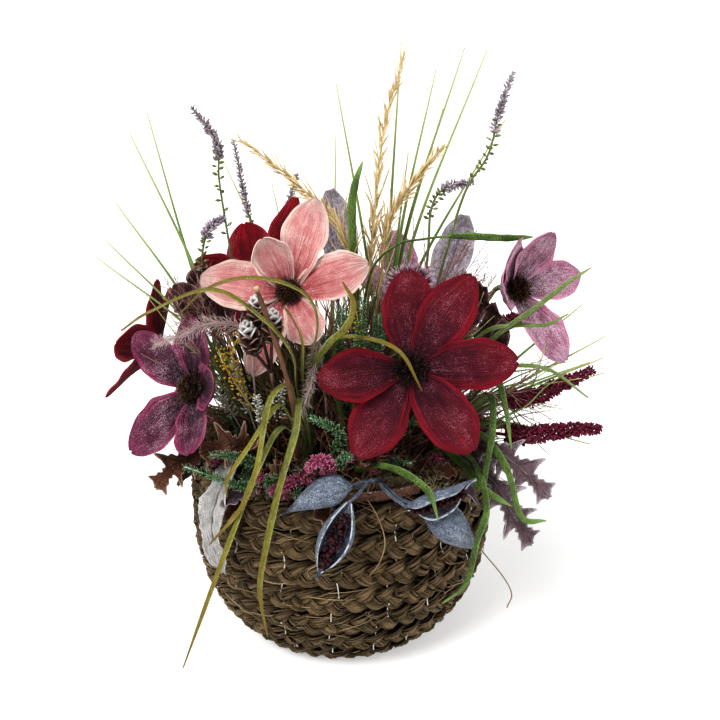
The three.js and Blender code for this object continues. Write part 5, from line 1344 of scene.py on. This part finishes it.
def strewn(count, seed, rings, length, lean=1.0):
    """Short upright arches at random places on the dome, which lean out."""
    chance = np.random.default_rng(seed)
    arches = []
    for i in range(count):
        turn = TURN * (i + chance.uniform(0, 0.8)) / count
        wide = chance.uniform(*rings)
        base = polar(wide, turn, foam_height(wide, 0) if wide < FOAM_RADIUS else 150)
        long = chance.uniform(*length)
        out = polar(1, turn, 0) * lean
        aside = polar(1, turn + TURN / 4, 0) * chance.uniform(-0.5, 0.5) * lean
        arches.append([base, base + (out * 0.25 + aside * 0.3 + (0, 0, 0.5)) * long,
                       base + (out * 0.75 + aside + (0, 0, 0.72)) * long])
    return arches


dried_stem = finish("dried_stem", (0.05, 0.022, 0.017), (0.42, 0.25, 0.175), lines=3, stretch=10,
    tone_share=0.7)
dark_grass = finish("dark_grass", (0.025, 0.045, 0.012), (0.20, 0.25, 0.085), lines=4, stretch=14,
    patches=14, rough=0.6, tone_share=0.6)
make_piece("dried_stems", joined(wild(900, 21, (0, 98), (22, 62), (0.3, 0.7), front=0.55, steps=6,
    plump=0.6, bend=0.35), wild(420, 23, (60, 108), (14, 38), (0.25, 0.5), spread=0.6, steps=6,
    plump=0.6, bend=0.6), wild(620, 24, (0, 66), (60, 118), (0.4, 0.9), spread=0.3, front=0.5,
    steps=7, plump=0.6, bend=0.3)), dried_stem, "moss")
make_piece("short_grass", joined(wild(230, 25, (0, 80), (50, 112), (0.5, 0.95), front=0.4, steps=9,
    plump=0.7, bend=0.3, sides=5, flat=0.5), wild(130, 27, (50, 104), (25, 55), (0.45, 0.85),
    spread=0.55, front=0.6, steps=8, plump=0.7, bend=0.5, sides=5, flat=0.5)), dark_grass, "grass")
curled_leaves("curled_leaves_brown", oak_brown, 96, 31, (62, 110), (26, 44), (6, 11), (-0.1, 0.7))
curled_leaves("curled_leaves_inner", oak_brown, 72, 35, (16, 82), (26, 48), (7, 12), (0.5, 1.9))
curled_leaves("curled_leaves_mauve", oak_mauve, 34, 33, (84, 110), (26, 40), (6, 10), (-0.1, 0.5))

rim_turns = np.radians([-128, -122, -117, -112, -107, -101, -96])
rim_sprigs = [[polar(92, turn, 150), polar(110, turn, 167) + polar(3, turn + TURN / 4, 0),
               polar(121, turn, 160) + polar(9, turn + TURN / 4, 0)] for turn in rim_turns]
middle_sprigs = [[(8, -52, 190), (10, -68, 230), (16, -70, 272)],
                 [(10, -52, 190), (14, -72, 240), (17, -72, 290)],
                 [(4, -54, 180), (2, -76, 225), (8, -76, 254)],
                 [(14, -50, 190), (26, -66, 240), (28, -64, 276)],
                 [(0, -50, 190), (-7, -64, 236), (-9, -72, 262)],
                 [(2, -52, 190), (-1, -66, 232), (3, -74, 284)]]
golden_stem = [(8, -54, 190), (13, -70, 236), (15, -72, 262), (12, -74, 284)]
hairy_stem = [(-8, -56, 180), (-12, -90, 262), (-15, -95, 257), (-19, -100, 234), (-29, -112, 210)]
dressed("heather_sprigs_green", strewn(22, 41, (48, 100), (26, 48)), 0.7, 0.4, 12,
    needles(70, 0.15), 41, *heather, rise=7)
dressed("heather_sprigs_pink", strewn(9, 43, (66, 100), (22, 34)), 0.7, 0.4, 12, needles(100, 0.3,
    length=(2.6, 4.4), radius=(0.45, 0.7), spread=2.2, off=(0.6, 2.6)), 43, *pink_heather, rise=7)
dressed("heather_sprigs_high", strewn(20, 47, (8, 62), (70, 120), lean=0.35), 0.7, 0.4, 12,
    needles(130, 0.35), 47, *heather, rise=7)
dressed("rim_sprigs_green", rim_sprigs[::2], 0.6, 0.3, 12, needles(90, 0.25), 150, *heather)
dressed("rim_sprigs_pink", rim_sprigs[1::2], 0.6, 0.3, 12, needles(110, 0.3, length=(2.0, 3.4),
    radius=(0.35, 0.55), spread=2.2, off=(0.5, 2.2)), 160, *pink_heather)
dressed("heather_sprigs_middle", middle_sprigs, 0.8, 0.4, 20, needles(330, 0.35, length=(2.8, 5.2),
    radius=(0.4, 0.62), spread=2.0, off=(0.4, 3.0)), 60, *heather)
dressed("mustard_sprig_middle", [golden_stem], 0.7, 0.4, 20, needles(40, 0.5, length=(2, 3),
    radius=(0.6, 0.95), spread=2.0, off=(0.6, 4.5), plump=0.5), 175, mustard_bead, "mustard")
dressed("hairy_sprig_front", [hairy_stem], 0.8, 0.4, 30, needles(330, 0.3, length=(4, 8),
    radius=(0.15, 0.25), bend=0.5), 71, pink_hair, "hairy")


# ---- Fans at the sides, frosted sprigs and dark leaves -------------------------------------------
# Thin pinkish-brown twigs with short side twigs, and fine yellow-green grass, leave the foam in
# bunches and fan out past the blooms. Frosted sprigs stand at the front, and large dark dried
# leaves close the gaps behind the blooms.
def fan(foot, middle, low, high, count, seed):
    """Lines from a foot past a middle point to random places in the box from low to high."""
    chance = np.random.default_rng(seed)
    ends = chance.uniform(low, high, (count, 3))
    bends = np.array(middle) + chance.normal(0, 7, (count, 3))
    return [[np.array(foot) + chance.uniform(-4, 4, 3) * (1, 1, 0), bend,
             (bend + end) / 2 + chance.normal(0, 3, 3), end] for bend, end in zip(bends, ends)]


pink_twig = finish("pink_brown_twig", (0.10, 0.035, 0.03), (0.46, 0.29, 0.25), lines=2, stretch=6,
    tone_share=0.6)
frost_bud = finish("frosted_bud", (0.16, 0.17, 0.13), (0.56, 0.57, 0.50), patches=90,
    tone_share=0.5, tip=(0.78, 0.78, 0.74), tip_from=0.7, **tiny)
dark_leaf = finish("dark_dried_leaf", (0.022, 0.008, 0.010), (0.19, 0.08, 0.08), lines=12,
    stretch=5, patches=120, dust=0.12, dust_colour=(0.42, 0.33, 0.32), relief=1.0, depth=0.0015,
    rim=(0.26, 0.15, 0.13), rim_from=0.85)
twig_fans = [
    (fan((-66, -34, 168), (-88, -46, 240), (-128, -72, 258), (-92, -24, 308), 15, 81), 90),
    (fan((72, -36, 166), (102, -54, 212), (138, -62, 168), (168, -34, 252), 13, 83), 110),
    (fan((62, -14, 170), (86, -24, 232), (86, -42, 258), (116, -10, 300), 14, 89), 170),
    (fan((38, -8, 172), (58, -10, 236), (54, -26, 284), (112, 26, 326), 18, 93), 200)]
grass_fans = fan((74, -30, 166), (108, -52, 208), (150, -66, 160), (176, -30, 248), 12, 85) \
    + fan((60, -16, 170), (84, -28, 226), (84, -46, 250), (118, -8, 292), 8, 91) \
    + fan((-62, -30, 168), (-84, -50, 232), (-132, -78, 250), (-100, -28, 300), 7, 87)
bud_lines = [[(-58, -60, 176), (-66, -70, 214), (-74, -74, 246)],
             [(-50, -62, 176), (-54, -80, 206), (-56, -90, 226)],
             [(-44, -60, 176), (-42, -80, 212), (-36, -92, 238)],
             [(-66, -52, 172), (-80, -62, 206), (-90, -68, 228)]]
dark_leaves = [
    [(60, -14, 172), (78, -18, 222), (92, -24, 250), (102, -30, 274), (100, -36, 292)],
    [(58, -20, 172), (80, -32, 214), (98, -42, 232), (112, -50, 248), (118, -50, 268)],
    [(62, -10, 172), (84, -14, 214), (102, -22, 234), (112, -28, 256), (110, -36, 276)],
    [(-62, -26, 172), (-74, -26, 228), (-86, -26, 262), (-97, -32, 290), (-92, -40, 303)],
    [(-58, -30, 172), (-78, -38, 230), (-94, -44, 262), (-106, -48, 282), (-118, -46, 290)],
    [(-56, -22, 174), (-72, -30, 236), (-82, -38, 264), (-84, -46, 288), (-80, -50, 304)]]
twigs = []
for lines, seed in twig_fans:
    for i, line in enumerate(lines):
        twigs += [rod(line, 0.55, 0.25, sides=5, steps=18, tone=0.2 + 0.6 * (i % 3) / 2),
                  beads_on(line, 14, 0.5, seed + i, spread=0.8, length=(6, 12),
                           radius=(0.22, 0.36), steps=4, bend=0.3, plump=0.4)]
make_piece("twig_fans", joined(*twigs), pink_twig, "stem")
make_piece("grass_fans", joined(*[rod(line, 1.0, 0.3, sides=6, tone=0.2 + 0.12 * (i % 6), flat=0.4)
    for i, line in enumerate(grass_fans)]), grass_green, "grass")
dressed("frosted_sprigs", bud_lines, 0.7, 0.4, 20, needles(70, 0.35, length=(2.6, 4.2),
    radius=(0.6, 0.95), spread=1.8, off=(0.4, 2.2)), 130, frost_bud, "heather")
leaf_bodies = []
for i, points in enumerate(dark_leaves):
    leaf_bodies += [rod(points[:3], 0.9, 0.6, sides=6, steps=20, tone=0.2),
                    leaf_sheet(points, 0.5, 7 + i, (-0.2, -0.9, 0.3), 0.5, 0.2 + 0.13 * i,
                               ruffle=3.5)]
make_piece("dark_dried_leaves", joined(*leaf_bodies), dark_leaf, "oak_leaf")
